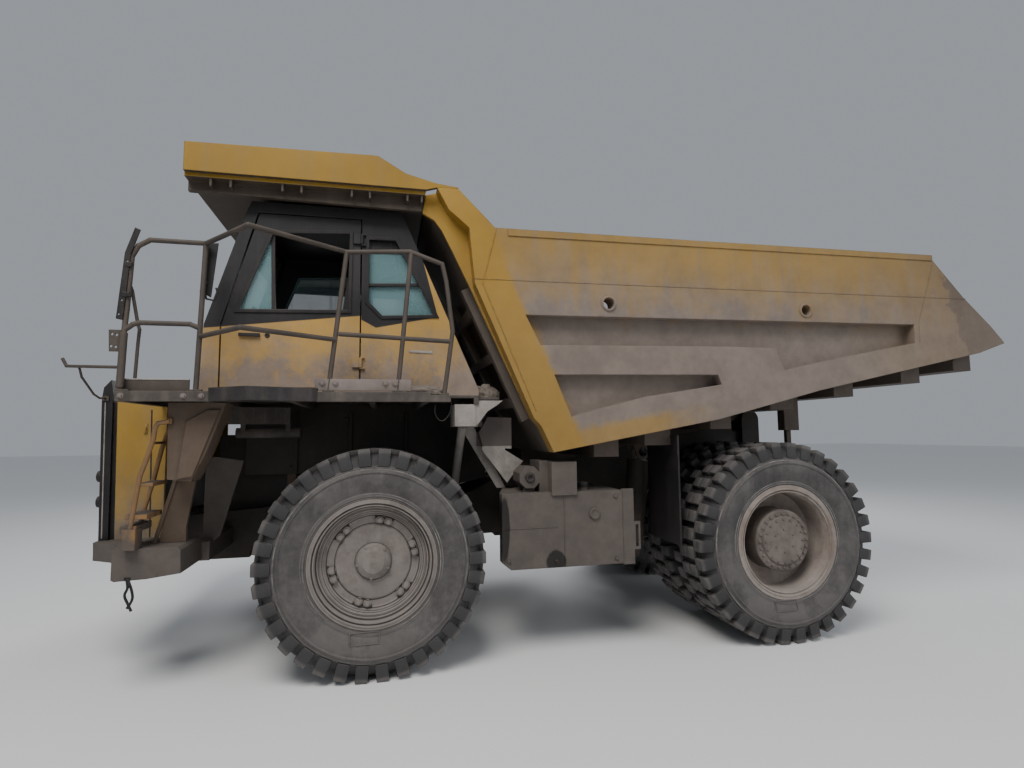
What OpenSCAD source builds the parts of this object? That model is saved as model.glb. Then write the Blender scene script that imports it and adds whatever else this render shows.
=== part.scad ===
// Two-axle rigid mining dump truck with its bed down.
// Lengths run along x with the nose towards +x, the left side is +y, and the tyres stand on z = 0.
// Every x below is measured from the front axle; from_axle() moves it to the middle of the length.

/* [Overall] */
// Distance between the front and the rear axle
wheelbase = 4300; // [4200:10:4400]
// Reach of the mirror arm's tip ahead of the front axle
nose_reach = 2750; // [2740:5:2800]
// Reach of the bed's tail edge behind the front axle
tail_reach = 7580; // [7500:5:7700]
// Half of the width over the door bay's rail and the right mirror
half_width = 2750; // [2740:5:2800]

/* [Tyres and rims] */
// Radius over the lugs
tyre_r = 1055; // [1040:1:1062]
// Section width of a tyre
tyre_w = 650; // [620:2:660]
// Depth of the grooves between the lugs
lug_depth = 58; // [30:1:70]
// Lugs round each shoulder
lug_count = 34; // [28:1:38]
// Radius of the rim's bead seat
rim_r = 570; // [540:2:600]
// Side offset of a front tyre's middle
front_tyre_y = 1788; // [1770:1:1800]
// Side offset of a rear outer tyre's middle
outer_tyre_y = 1901; // [1890:1:1910]
// Spacing of a rear pair of tyres
dual_gap = 760; // [740:1:775]

/* [Steering] */
// Side offset of the steering axis
king_y = 1250; // [1240:1:1260]
// Length of the steering arms
arm_l = 450; // [430:5:470]
// Radius of the front wheel spindle
spindle_r = 110; // [90:1:125]
// Running clearance of pins and shafts in their bores
fit = 0.05; // [0.02:0.01:0.1]
// Clearance of flat seats
seat = 0.3; // [0.2:0.05:0.4]

/* [Frame] */
// Outer side offset of the frame rails
rail_y = 560; // [540:5:580]
// Width of a frame rail
rail_w = 130; // [100:5:150]
// Rear pivot of the bed, behind the front axle
pivot_x = 5000; // [4950:5:5050]
// Height of the bed's pivot
pivot_z = 2390; // [2380:1:2400]
// Radius of the bed's pivot pin
pivot_r = 60; // [50:1:70]

/* [Bed] */
// Half width over the bed's ribs
bed_half_w = 2100; // [2080:5:2120]
// Half width inside the bed
bed_inner = 1925; // [1900:5:1935]
// Thickness of the bed's plates
bed_plate = 40; // [30:1:50]
// Radius of the holes in the bed's sides
port_r = 60; // [40:1:70]
// Height of the canopy's curb above the beam's lower edge
curb_top = 4942; // [4920:1:4950]

/* [Platform and cab] */
// Height of the platform's deck
deck_z = 2630; // [2620:1:2640]
// Depth of the platform's edge beams
deck_edge = 90; // [70:1:110]
// Half width of the platform
deck_half_w = 2200; // [2190:1:2210]
// Side offset of the cab's left wall
cab_y = 1780; // [1770:1:1785]
// Width of the cab
cab_w = 1760; // [1700:5:1800]
// Thickness of the cab's walls
cab_wall = 60; // [50:1:65]
// Thickness of a pane
glass_t = 10; // [6:1:12]
// Gap round the door
door_gap = 14; // [12:1:18]
// Radius of the handrail tubes
rail_r = 22; // [18:1:26]

/* [Hoist] */
// Radius of the hoist barrels
hoist_r = 130; // [120:1:135]
// Side offset of the hoist cylinders
hoist_y = 1180; // [1170:1:1190]
// Lower pin of a hoist, ahead of the rear axle
hoist_foot_ahead = 1350; // [1340:1:1360]
// Height of the lower pin
hoist_foot_z = 850; // [840:1:860]
// Upper pin of a hoist, ahead of the rear axle
hoist_eye_ahead = 1220; // [1210:1:1230]
// Height of the upper pin
hoist_eye_z = 2000; // [1995:1:2005]

/* [Tanks] */
// Front face of the fuel tank, behind the front axle
tank_front = 1227; // [1220:1:1240]
// Rear face of the fuel tank, ahead of the rear axle
tank_rear_ahead = 1804; // [1800:1:1850]
// Outer side offset of the tanks
tank_y = 2000; // [1980:1:2020]
// Bottom of the tanks
tank_z = 900; // [880:5:940]
// Height of the tanks
tank_h = 740; // [700:5:780]

/* [Hidden] */

front_axle_x = (tail_reach - nose_reach) / 2;
lug_pitch = 360 / lug_count;
lug_share = 0.58;
axle_z = tyre_r * cos((1 - lug_share) * lug_pitch / 2);
hoist_foot_x = wheelbase - hoist_foot_ahead;
hoist_eye_x = wheelbase - hoist_eye_ahead;
tank_rear = wheelbase - tank_rear_ahead;
inner_tyre_y = outer_tyre_y - dual_gap;

paint = "#c08a2c";
dirt = "#6b6058";
dark = "#3a3632";
tyre_colour = "#4a4745";
steel = "#7c746a";

module from_axle() { translate([front_axle_x, 0, 0]) children(); }
module both_sides() { children(); mirror([0, 1, 0]) children(); }

// Block between two corners
module block(low, high) { translate(low) cube(high - low); }
// Outline in x and z, thick from side offset y0 to y1
module side_slab(points, y0, y1) {
    translate([0, y1, 0]) rotate([90, 0, 0]) linear_extrude(y1 - y0) polygon(points);
}
// Outline in x and y, thick from height z0 to z1
module plan_slab(points, z0, z1) { translate([0, 0, z0]) linear_extrude(z1 - z0) polygon(points); }
// Round bar across the truck
module cross_bar(x, z, y0, y1, r) {
    translate([x, y1, z]) rotate([90, 0, 0]) cylinder(r = r, h = y1 - y0, $fn = 48);
}
// Round bar between two points
module bar(a, b, r) {
    d = b - a;
    l = norm(d);
    translate(a) rotate([0, acos(d[2] / l), atan2(d[1], d[0])]) cylinder(r = r, h = l, $fn = 24);
}
// Round bar along the truck
module long_bar(x0, x1, y, z, r) {
    translate([x0, y, z]) rotate([0, 90, 0]) cylinder(r = r, h = x1 - x0, $fn = 48);
}
// Bent tube through a list of points, with a slightly larger ball at each bend
module tube(points, r) {
    for (i = [0 : len(points) - 2]) bar(points[i], points[i + 1], r);
    for (i = [1 : len(points) - 2]) translate(points[i]) sphere(r = r * 1.04, $fn = 24);
}

// Tyre round the y axis: a revolved carcass and a toothed tread ring
tread_r = tyre_r - lug_depth;
wall_r = 760;
shoulder_r = tread_r - 55;
bead = 0.39 * tyre_w;
tread_w = 0.88 * tyre_w;
carcass = [[rim_r, -bead], [wall_r, -0.495 * tyre_w], [shoulder_r, -tread_w / 2],
    [shoulder_r, tread_w / 2], [wall_r, 0.495 * tyre_w], [rim_r, bead]];
// Radius and share of the pitch of the four corners of a lug
lug_corners = [[tread_r, -0.36], [tyre_r, -lug_share / 2], [tyre_r, lug_share / 2], [tread_r, 0.36]];
module tread_ring() {
    linear_extrude(tread_w, center = true) difference() {
        polygon([for (i = [0 : lug_count - 1]) for (c = lug_corners)
            [c[0] * cos((i + c[1]) * lug_pitch), c[0] * sin((i + c[1]) * lug_pitch)]]);
        circle(r = shoulder_r - 60, $fn = 28);
    }
}
module tyre(x, y) {
    translate([x, y, axle_z]) rotate([90, 0, 0]) {
        rotate_extrude($fn = 28) polygon(carcass);
        tread_ring();
    }
}

// Height of a frame rail's upper and lower edge at a place along the truck
rail_upper = [[-4700, 2330], [-1780, 1790], [-1000, 1480], [900, 1450], [2300, 1350]];
rail_lower = [[-5140, 2020], [-4300, 1760], [-3300, 1420], [-2600, 1050], [1000, 960], [2300, 1000]];
function rail_top(x) = lookup(x, rail_upper);
function rail_bottom(x) = lookup(x, rail_lower);

// Rim round the y axis with its outer face towards +y: the barrel with two flanges
lip = 30;
rim_in = rim_r - 60;
module rim_barrel(x, y) {
    translate([x, y, axle_z]) rotate([-90, 0, 0]) rotate_extrude($fn = 64) polygon([
        [rim_in, -bead - lip], [rim_r + lip, -bead - lip], [rim_r + lip, -bead - 12],
        [rim_r - seat, -bead - seat], [rim_r - seat, bead + seat], [rim_r + lip, bead + 12],
        [rim_r + lip, bead + lip], [rim_r - 20, bead + lip], [rim_in + 10, bead - 20], [rim_in, 200]]);
}
// Turned part of a wheel from an outline of radius and side offset
module turned(x, y, outline) {
    translate([x, y, axle_z]) rotate([-90, 0, 0]) rotate_extrude($fn = 64) polygon(outline);
}

strut_top = 1760;
rear_strut_top = 1960;
rear_strut_y = 680;
front_shaft_z = 1280;
hoist_pin_r = 50;
module main_frame() {
    rail = concat([for (p = rail_upper) p - [0, p[0] < -1500 ? seat : 0]],
        [for (i = [len(rail_lower) - 1 : -1 : 0]) rail_lower[i]], [[-5140, 2240], [-4780, 2240]]);
    inner = rail_y - rail_w;
    color(dark) from_axle() {
        both_sides() {
            side_slab(rail, inner, rail_y);
            // Deeper part of the rail behind the bumper
            side_slab([[1357, 1000], [1380, 880], [2086, 880], [2086, 1010]], inner, rail_y);
            // Ears that hold the bed's pivot pin
            for (y = [inner - 80, rail_y]) {
                block([-pivot_x - 130, y, 2040], [-pivot_x + 130, y + 80, pivot_z]);
                cross_bar(-pivot_x, pivot_z, y, y + 80, 130);
            }
            cross_bar(-pivot_x, pivot_z, inner - 80, rail_y + 80, pivot_r);
            // Outrigger over the front strut
            plan_slab([[-190, rail_y - 20], [190, rail_y - 20], [130, king_y + 130], [-130, king_y + 130]],
                strut_top, 1960);
            // Foot of the hoist
            cross_bar(-hoist_foot_x, hoist_foot_z, inner, hoist_y - 70, 90);
            cross_bar(-hoist_foot_x, hoist_foot_z, hoist_y - 71, hoist_y + 80, hoist_pin_r);
            block([-hoist_foot_x - 160, inner, hoist_foot_z - 90], [-hoist_foot_x + 160, rail_y, 1300]);
            // Outrigger over the rear strut
            block([-wheelbase - 130, rail_y - 10, rear_strut_top], [-wheelbase + 130, 790, 2080]);
        }
        // Box beam of the front struts
        block([-190, -rail_y, 1452], [190, rail_y, 1960]);
        block([2130, -inner - 10, 1060], [2270, inner + 10, 1340]);
        // Cross members that the shafts pass through
        difference() {
            for (x = [-1300, -2550]) block([x - 70, -inner - 10, 1000], [x + 70, inner + 10, 1430]);
            long_bar(-1500, -1100, 0, front_shaft_z, 120);
            long_bar(-2800, -2400, 0, axle_z, 120);
        }
        block([-3560, -inner - 10, 1930], [-3440, inner + 10, 2030]);
        block([-5020, -inner - 10, 2035], [-4900, inner + 10, 2130]);
    }
}

between_rails = rail_y - rail_w - seat;
module engine() {
    color(dark) from_axle() block([200, -between_rails, 990], [1750, between_rails, 2250]);
}

module drive_line() {
    color(steel) from_axle() {
        block([-2450, -between_rails, 960], [-1450, between_rails, 1650]);
        long_bar(-1450, 200, 0, front_shaft_z, 90);
        long_bar(-wheelbase + 420, -2450, 0, axle_z, 90);
    }
}

// Top of the bumper and of its end boxes, and half width of the radiator guard
bumper_top = 1230;
box_top = 1283;
guard_half = 1150;
hood_in = guard_half - 40;
guard_foot = 2636;
// Front face of the guard at a height
function guard_front(z) = lookup(z, [[bumper_top, guard_foot], [2615, 2667]]);
module grille() {
    color(dark) from_axle() {
        // Guard with its slats
        difference() {
            side_slab([[guard_foot, bumper_top + seat], [2667, 2615], [2653, 2735], [2590, 2811],
                [2570, 2675], [2552, bumper_top + seat]], -guard_half, guard_half);
            block([2500, -1020, 1330], [2700, 1020, 2560]);
        }
        for (z = [1400 : 95 : 2500]) block([2565, -1021, z], [2625, 1021, z + 30]);
        for (y = [-450, 450]) block([2575, y - 20, 1329], [2615, y + 20, 2561]);
        // Recessed bands behind the guard and their brackets to the core
        both_sides() {
            block([2480, 1020, bumper_top + seat], [2575, hood_in - seat, 2590]);
            block([2400, 879, 1500], [2490, 1021, 2300]);
        }
        // Radiator core, which stands on the rails
        side_slab([[2250, rail_top(2250) + seat], [2300, 1350 + seat], [2480, 1350], [2480, 2440],
            [2250, 2440]], -880, 880);
    }
}

module hood() {
    front = 2120 + seat;
    color(paint) from_axle() {
        both_sides()
            side_slab([[2070, bumper_top + seat], [2497, bumper_top + seat], [2527, 2640], [2460, 2690],
                [2300, 2640], [front, 2640], [front, deck_z - deck_edge], [2070, deck_z - deck_edge]],
                hood_in, guard_half);
        block([front, -hood_in - 1, 2600], [2500, hood_in + 1, 2640]);
    }
}

module bumper() {
    color(dirt) from_axle() {
        side_slab([[2300, 1040], [2463, 1046], [2630, 1084], [2636, bumper_top], [2300, bumper_top]],
            -1250, 1250);
        both_sides() {
            plan_slab([[2300, 1249], [2632, 1249], [2330, 1450], [2300, 1450]], 1060, bumper_top);
            // End box with its slanted nose, and the beam to the frame
            side_slab([[1627, 1057], [1894, 1024], [2149, 1015], [2161, box_top], [1660, box_top],
                [1635, 1255]], 1420, 2000);
            plan_slab([[2140, 1420], [2330, 1420], [2165, 2000], [2140, 2000]], 1025, box_top - 10);
            block([1560, rail_y, 1040], [1720, 1421, 1220]);
            // Inner fender on the beam
            side_slab([[1654, 1968], [1600, 2032], [1545, 2030], [1303, 1986], [1499, 1254], [1560, 1200],
                [1660, 1200]], 1280, 1300);
            // Tow eye and its bracket
            block([2190, 860, 1031], [2301, 940, 1200]);
            difference() {
                side_slab([[2195, 1041], [2215, 895], [2335, 895], [2355, 1041]], 870, 930);
                cross_bar(2275, 955, 869, 931, 35);
            }
        }
    }
}

module platform() {
    beam_z = deck_z - deck_edge;
    color(dirt) from_axle() {
        plan_slab([[2120, -deck_half_w], [2120, deck_half_w], [-514, deck_half_w], [-514, cab_y],
            [-1035, cab_y], [-1035, -cab_y], [-514, -cab_y], [-514, -deck_half_w]],
            deck_z - 25, deck_z);
        both_sides() {
            block([-514, deck_half_w - 40, beam_z], [2120, deck_half_w, deck_z - 24]);
            for (x = [2060, 1400, 700, 0, -500])
                block([x, 0, beam_z], [x + 60, deck_half_w - 39, deck_z - 24]);
            block([-1035, -1, beam_z], [-985, cab_y, deck_z - 24]);
            // Beam over the front wheel and bracket of the handrail's last post
            block([896, 1060, 2360], [1567, 1100, beam_z + 1]);
            block([-700, rail_y0 - 25, beam_z], [-513, rail_y0 + 25, deck_z - 24]);
        }
        // Pipe that hangs from the left beam
        long_bar(800, 1450, 1000, 2268, 55);
        for (x = [900, 1350]) block([x, 980, 2290], [x + 50, 1061, 2400]);
        // Step plate in the door bay
        plan_slab([[1403, deck_half_w], [1050, deck_half_w + 240], [542, deck_half_w + 40],
            [500, deck_half_w]], beam_z, deck_z + 30);
        // Ledge behind the cab
        block([-1256, 1400, deck_z - 42], [-1034, cab_y - 20, deck_z - 18]);
    }
}

// Side offsets of the two faces of a leg
leg_in = 1760;
leg_out = 2030;
module platform_legs() {
    beam_z = deck_z - deck_edge;
    color(dirt) from_axle() both_sides() {
        side_slab([[1770, beam_z], [1296, beam_z], [1452, 2092], [1564, 1844], [1756, 1866]],
            leg_in, leg_out);
        // Raised ridge, lower plate and brace
        side_slab([[1443, 2474], [1347, 2474], [1550, 1889], [1674, 1869], [1614, 2370]],
            leg_out - 1, leg_out + 20);
        side_slab([[1780, 1960], [1600, 1960], [1607, 1823], [1670, 1423], [1667, box_top + seat],
            [1881, box_top + seat], [1881, 1340], [1792, 1822]], leg_in - 40, leg_in + 2);
        side_slab([[1740, 1900], [1772, 1900], [1937, box_top + seat], [1904, box_top + seat]],
            leg_in, leg_in + 25);
        // Posts on the frame rails
        for (x = [900, -900])
            side_slab([[x, rail_top(x) + seat], [x + 100, rail_top(x + 100) + seat], [x + 100, beam_z],
                [x, beam_z]],
                rail_y - 90, rail_y - 10);
    }
}

module ladders() {
    near_y = leg_out + 30;
    far_y = leg_in - 30;
    near = [[2014, 1300], [2014, 1455], [1954, 1907], [1913, 2033], [1862, 2226], [1854, 2316],
        [1833, 2355], [1740, 2374]];
    far = [[2069, box_top + seat], [2069, 1404], [2039, 1556], [1966, 1843], [1909, 2127], [1859, 2292],
        [1800, 2345], [1740, 2374]];
    // Front, rear, lower and upper edge of each step
    steps = [[2090, 1965, 1427, 1484], [2053, 1885, 1538, 1579], [1965, 1850, 1815, 1845]];
    color(paint) from_axle() both_sides() {
        tube([for (p = near) [p[0], near_y, p[1]]], 20);
        tube([for (p = far) [p[0], far_y, p[1]]], 20);
        for (s = steps) block([s[1], far_y, s[2]], [s[0], near_y, s[3]]);
        bar([1889, far_y, 2185], [1873, near_y, 2185], 12);
        // Foot on the bumper and brackets on the leg
        block([1961, near_y - 120, box_top + seat], [2067, near_y + 25, 1458]);
        block([1725, leg_out + seat, 2350], [1765, near_y + 1, 2398]);
        block([1725, far_y - 1, 2350], [1765, leg_in - seat, 2398]);
    }
}

// Handrail of one side: corner panel, mirror post, and rear panel
rail_y0 = deck_half_w - 25;
module rail_panels() {
    foot = deck_z + 8;
    // Front panel: corner post, top rail, rear post, mid rail, sleeve and inner post
    tube([[2095, rail_y0, foot], [2083, rail_y0, 3125], [2069, rail_y0, 3330], [2050, rail_y0, 3793],
        [2004, rail_y0, 3889], [1914, rail_y0, 3947], [1470, rail_y0, 3945], [1510, rail_y0, foot]],
        rail_r);
    tube([[2080, rail_y0, 3150], [2016, rail_y0, 3201], [1963, rail_y0, 3216], [1576, rail_y0, 3216],
        [1494, rail_y0, 3181]], rail_r);
    bar([2095, rail_y0, foot + 20], [2083, rail_y0, 3125], 30);
    inner_y = rail_y0 - 75;
    tube([[2017, inner_y, foot], [2002, inner_y, 3035], [1994, inner_y, 3170], [2009, inner_y, 3216],
        [2056, inner_y + 20, 3500], [2060, rail_y0, 3560]], 14);
    // Plate with four holes ahead of the corner post
    difference() {
        side_slab([[2095, 3150], [2197, 3150], [2188, 2963], [2095, 2963]], rail_y0 - 5, rail_y0 + 5);
        for (p = [[2170, 3112], [2135, 3106], [2174, 3009], [2139, 3003]])
            translate([p[0], rail_y0, p[1]]) rotate([90, 0, 0])
                cylinder(r = 11, h = 12, center = true, $fn = 8);
    }
    // Toe board
    block([1573, rail_y0 - 51, deck_z], [2108, rail_y0 - 43, 2731]);
    // Rear panel
    tube([[414, rail_y0, foot], [270, rail_y0, 3940], [-314, rail_y0, 3979],
        [-620, rail_y0, 3874], [-660, rail_y0, 3700], [-720, rail_y0, 3217],
        [-640, rail_y0, deck_z - 16]], rail_r);
    bar([-325, rail_y0, 3970], [-206, rail_y0, foot], rail_r);
    bar([330, rail_y0, 3165], [-710, rail_y0, 3120], rail_r);
    // Feet
    for (x = [2071, 1510, 414, -206])
        block([x - 50, rail_y0 - 25, deck_z], [x + 50, rail_y0 + 25, deck_z + 14]);
    block([1987, inner_y - 25, deck_z], [2047, inner_y + 25, deck_z + 14]);
    block([-680, rail_y0 - 25, deck_z - 24], [-600, rail_y0 + 25, deck_z - 10]);
}
module handrail_left() {
    bay = half_width - rail_r;
    arm_y = 1750;
    color(dirt) from_axle() {
        rail_panels();
        tube([[1470, rail_y0, 3945], [1002, bay, 3945], [290, rail_y0, 3945]], rail_r);
        tube([[1490, rail_y0, 3110], [1050, bay - 40, 3110], [350, rail_y0, 3110]], rail_r);
        // Mirror arm from the corner post, with its strut to the radiator guard
        tube([[2092, rail_y0, 2830], [2700, arm_y, 2880], [nose_reach - 14, arm_y, 2950]], 14);
        tube([[2554, 1843, 2853], [2553, 1800, 2778], [2608, 1450, 2649], [2622, 1300, 2620],
            [2632, guard_half + 8, 2628]], 10);
        block([2600, guard_half + seat, 2600], [2660, guard_half + 12, 2650]);
    }
}
module handrail_right() {
    color(dirt) from_axle() mirror([0, 1, 0]) {
        rail_panels();
        bar([1470, rail_y0, 3945], [290, rail_y0, 3945], rail_r);
        bar([1490, rail_y0, 3110], [350, rail_y0, 3110], rail_r);
    }
}

// Bent mirror plate from side offset y0 outwards, and the place of the post at its clamps in x and z
mirror_t = 12;
mirror_clamps = [[2053, 3712], [2064, 3450]];
module tall_mirror(y0) {
    difference() {
        side_slab([[2023, 4041], [2092, 3813], [2136, 3240], [2087, 3229], [2047, 3805], [1981, 4023]],
            y0, y0 + mirror_t);
        for (p = [[2070, 3740], [2098, 3400], [2117, 3279]])
            translate([p[0], y0, p[1]]) rotate([90, 0, 0]) cylinder(r = 8, h = 40, center = true, $fn = 8);
    }
}
module mirrors() {
    post_face = rail_y0 + rail_r + seat;
    plate_y = rail_y0 + 1.04 * rail_r + seat;
    near_y = rail_y0 - 55;
    color(dark) from_axle() {
        tall_mirror(plate_y);
        for (p = mirror_clamps)
            block([p[0] - 20, post_face, p[1] - 20], [p[0] + 35, plate_y + mirror_t + 5, p[1] + 20]);
        mirror([0, 1, 0]) {
            tall_mirror(half_width - mirror_t);
            for (p = mirror_clamps)
                block([p[0] - 10, post_face, p[1] - 12], [p[0] + 35, half_width - mirror_t + 1, p[1] + 12]);
        }
        // Second mirror on the rear post of the front panel, with its bent arm
        side_slab([[1485, 3963], [1383, 3970], [1412, 3665], [1430, 3471], [1523, 3520], [1505, 3681]],
            near_y - mirror_t / 2, near_y + mirror_t / 2);
        for (z = [3600, 3850]) block([1460, near_y, z - 12], [1500, rail_y0 - rail_r - seat, z + 12]);
        tube([[1478, near_y, 3502], [1468, near_y, 3458], [1402, near_y, 3446], [1378, near_y, 3519],
            [1392, near_y, 3561]], 8);
    }
}

// Cab outline in x and z
cab_top = 4520;
cab_outline = [[1625, deck_z], [1625, 2720], [1580, 3295], [1230, 4430], [1190, cab_top],
    [-240, cab_top], [-1035, 2690], [-1035, deck_z]];
door_outline = [[1428, 2700], [1428, 3290], [1164, 4230], [1117, 4400], [162, 4400], [162, 2700]];
side_window = [[94, 4221], [-192, 4227], [-600, 3440], [-51, 3413], [94, 3560]];
door_window = [[997, 4229], [251, 4269], [262, 3459], [1296, 3431]];
// Hinges of the door: the heights of their lower ends, their height, axis and pin
door_hinges = [2900, 4150];
hinge_h = 90;
door_hinge_x = 150;
door_hinge_y = cab_y + 20;
hinge_pin_r = 8;
module cab_shell() {
    inner = cab_y - cab_w;
    color(paint) from_axle() {
        difference() {
            side_slab(cab_outline, inner, cab_y);
            side_slab([[1565, deck_z + cab_wall], [1565, 2725], [1520, 3285], [1155, cab_top - cab_wall],
                [-200, cab_top - cab_wall], [-956, 2720], [-956, deck_z + cab_wall]],
                inner + cab_wall, cab_y - cab_wall);
            // Door way and windows on the left
            side_slab([for (p = door_outline) [p[0] + (p[0] > 700 ? door_gap : -door_gap),
                p[1] + (p[1] > 3500 ? door_gap : p[1] < 3000 ? -door_gap : 0)]],
                cab_y - cab_wall - 1, cab_y + 1);
            side_slab(side_window, cab_y - cab_wall - 1, cab_y + 1);
            // Windows on the right
            side_slab(door_window, inner - 1, inner + cab_wall + 1);
            side_slab(side_window, inner - 1, inner + cab_wall + 1);
            // Windscreen and rear window
            block([1100, inner + 130, 3340], [1700, cab_y - 130, 4360]);
            block([-900, inner + 300, 3500], [-100, cab_y - 300, 4200]);
        }
        // Hinge pins of the door between their brackets
        for (z = door_hinges) {
            translate([door_hinge_x, door_hinge_y, z - 15])
                cylinder(r = hinge_pin_r, h = hinge_h + 30, $fn = 32);
            for (low = [z - 15 - seat, z + hinge_h + seat])
                block([110, cab_y - 1, low], [door_hinge_x + 5, cab_y + 27, low + 15]);
        }
    }
}

module cab_glass() {
    inner = cab_y - cab_w;
    color("#7fa8a0", 0.4) from_axle() {
        side_slab(side_window, cab_y - cab_wall, cab_y - cab_wall + glass_t);
        for (window = [side_window, door_window])
            side_slab(window, inner + cab_wall - glass_t, inner + cab_wall);
        side_slab([[1536, 3340], [1547, 3340], [1232, 4360], [1221, 4360]], inner + 130, cab_y - 130);
        side_slab([[-658, 3500], [-647, 3500], [-343, 4200], [-354, 4200]], inner + 300, cab_y - 300);
    }
}

module seat() {
    color(dark) from_axle() {
        block([350, 1080, deck_z + cab_wall], [650, 1380, 3000]);
        block([250, 970, 3000], [800, 1490, 3160]);
        side_slab([[250, 3160], [400, 3160], [300, 3900], [180, 3900]], 970, 1490);
    }
}

module dashboard() {
    color(dark) from_axle() {
        side_slab([[1560, deck_z + cab_wall], [1515, 3280], [1250, 3340], [1180, 3200],
            [1400, deck_z + cab_wall]], cab_y - cab_w + cab_wall, cab_y - 200);
        bar([1300, 1230, 3250], [1130, 1230, 3420], 35);
        translate([1120, 1230, 3430]) rotate([0, -45, 0]) {
            rotate_extrude($fn = 32) translate([200, 0]) circle(r = 18, $fn = 16);
            for (a = [0, 120, 240]) rotate([0, 0, a]) translate([0, -15, -8]) cube([195, 30, 16]);
            translate([0, 0, -25]) cylinder(r = 45, h = 35, $fn = 32);
        }
    }
}

module tank_body() {
    top = tank_z + tank_h;
    plan = [[-tank_front, tank_y], [-tank_rear, tank_y], [-tank_rear, 1150],
        [-tank_front - 193, 1150], [-tank_front, tank_y - 130]];
    intersection() {
        plan_slab(plan, tank_z, top);
        side_slab([[-tank_front, top], [-tank_front, tank_z + 70], [-tank_front - 85, tank_z],
            [-tank_rear, tank_z], [-tank_rear, top]], 1150, tank_y);
    }
    for (x = [-tank_front - 330, -tank_rear + 200])
        block([x - 50, rail_y, tank_z + 250], [x + 50, 1151, tank_z + 350]);
}
module fuel_tank() {
    top = tank_z + tank_h;
    color(dirt) from_axle() {
        tank_body();
        // Boxes, drum on its saddles, and cap on the tank
        block([-1999, 1500, 1610], [-1733, tank_y + 25, 1945]);
        block([-1734, 1500, top - 1], [-1640, 1900, 1952]);
        translate([-1540, 1900, 1787]) rotate([90, 22.5, 0]) cylinder(r = 118, h = 300, $fn = 8);
        for (y = [1640, 1820]) block([-1600, y, top - 1], [-1480, y + 40, 1720]);
        translate([-2136, 1800, top - 1]) cylinder(r = 55, h = 34, $fn = 32);
        // Rim of the sight glass
        cross_bar(-2189, 1414, tank_y - 1, tank_y + 12, 60);
        // Bar and slotted frame behind the tank
        block([-tank_rear - 130, 1960, 884], [-tank_rear + 1, 1990, 1652]);
        difference() {
            block([-tank_rear - 198, 1960, 1029], [-tank_rear - 129, 1990, 1313]);
            block([-tank_rear - 178, 1959, 1060], [-tank_rear - 145, 1991, 1282]);
        }
    }
}
module oil_tank() {
    color(dirt) from_axle() mirror([0, 1, 0]) {
        tank_body();
        translate([-1700, 1700, tank_z + tank_h - 1]) cylinder(r = 70, h = 80, $fn = 32);
    }
}

strut_rod_r = 70;
king_pin_r = 60;
ball_r = 30;
module front_suspension() {
    arm_y0 = rail_y - 60;
    color(steel) from_axle() both_sides() {
        translate([0, king_y, 1290]) cylinder(r = 105, h = 260, $fn = 48);
        translate([0, king_y, 1150]) cylinder(r = strut_rod_r, h = 150, $fn = 48);
        translate([0, king_y, 1500]) cylinder(r = 125, h = strut_top - 1500, $fn = 48);
        // Lower arm with its pin
        plan_slab([[-300, arm_y0], [300, arm_y0], [90, king_y + 60], [-90, king_y + 60]], 640, 740);
        for (x = [-280, 180])
            side_slab([[x, 640], [x + 100, 640], [x + 100, rail_bottom(x + 100)], [x, rail_bottom(x)]],
                arm_y0 - 20, rail_y - 10);
        translate([0, king_y, 700]) cylinder(r = king_pin_r, h = 180, $fn = 48);
    }
}

module knuckle() {
    difference() {
        union() {
            translate([0, king_y, 760]) cylinder(r = 150, h = 500, $fn = 48);
            cross_bar(0, axle_z, king_y + 40, front_tyre_y + 50, spindle_r);
            block([-arm_l - 60, king_y - 45, 790], [0, king_y + 45, 840]);
            translate([-arm_l, king_y, 790]) cylinder(r = 60, h = 50, $fn = 48);
            translate([-arm_l, king_y, 830]) cylinder(r = ball_r, h = 95, $fn = 48);
        }
        translate([0, king_y, 1150 - seat]) cylinder(r = strut_rod_r + fit, h = 200, $fn = 48);
        translate([0, king_y, 700]) cylinder(r = king_pin_r + fit, h = 180 + seat, $fn = 48);
    }
}
module knuckle_left() { color(dark) from_axle() knuckle(); }
module knuckle_right() { color(dark) from_axle() mirror([0, 1, 0]) knuckle(); }

module tie_rod() {
    color(steel) from_axle() difference() {
        union() {
            cross_bar(-arm_l, 880, -king_y, king_y, 32);
            for (s = [1, -1]) translate([-arm_l, s * king_y, 840 + seat]) cylinder(r = 58, h = 75, $fn = 48);
        }
        for (s = [1, -1]) translate([-arm_l, s * king_y, 830]) cylinder(r = ball_r + fit, h = 100, $fn = 48);
    }
}

module front_rim() {
    rim_barrel(0, front_tyre_y);
    turned(0, front_tyre_y, [[spindle_r + fit, -240], [205, -240], [205, 110], [rim_in + 5, 100],
        [rim_in + 5, 205], [rim_in - 5, 205], [407, 150], [170, 150], [150, 200], [100, 232], [0, 242],
        [0, 60], [spindle_r + fit, 60]]);
}
module front_rim_left() { color(steel) from_axle() front_rim(); }
module front_rim_right() { color(steel) from_axle() mirror([0, 1, 0]) front_rim(); }
module front_tyre_left() { color(tyre_colour) from_axle() tyre(0, front_tyre_y); }
module front_tyre_right() { color(tyre_colour) from_axle() mirror([0, 1, 0]) tyre(0, front_tyre_y); }

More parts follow.
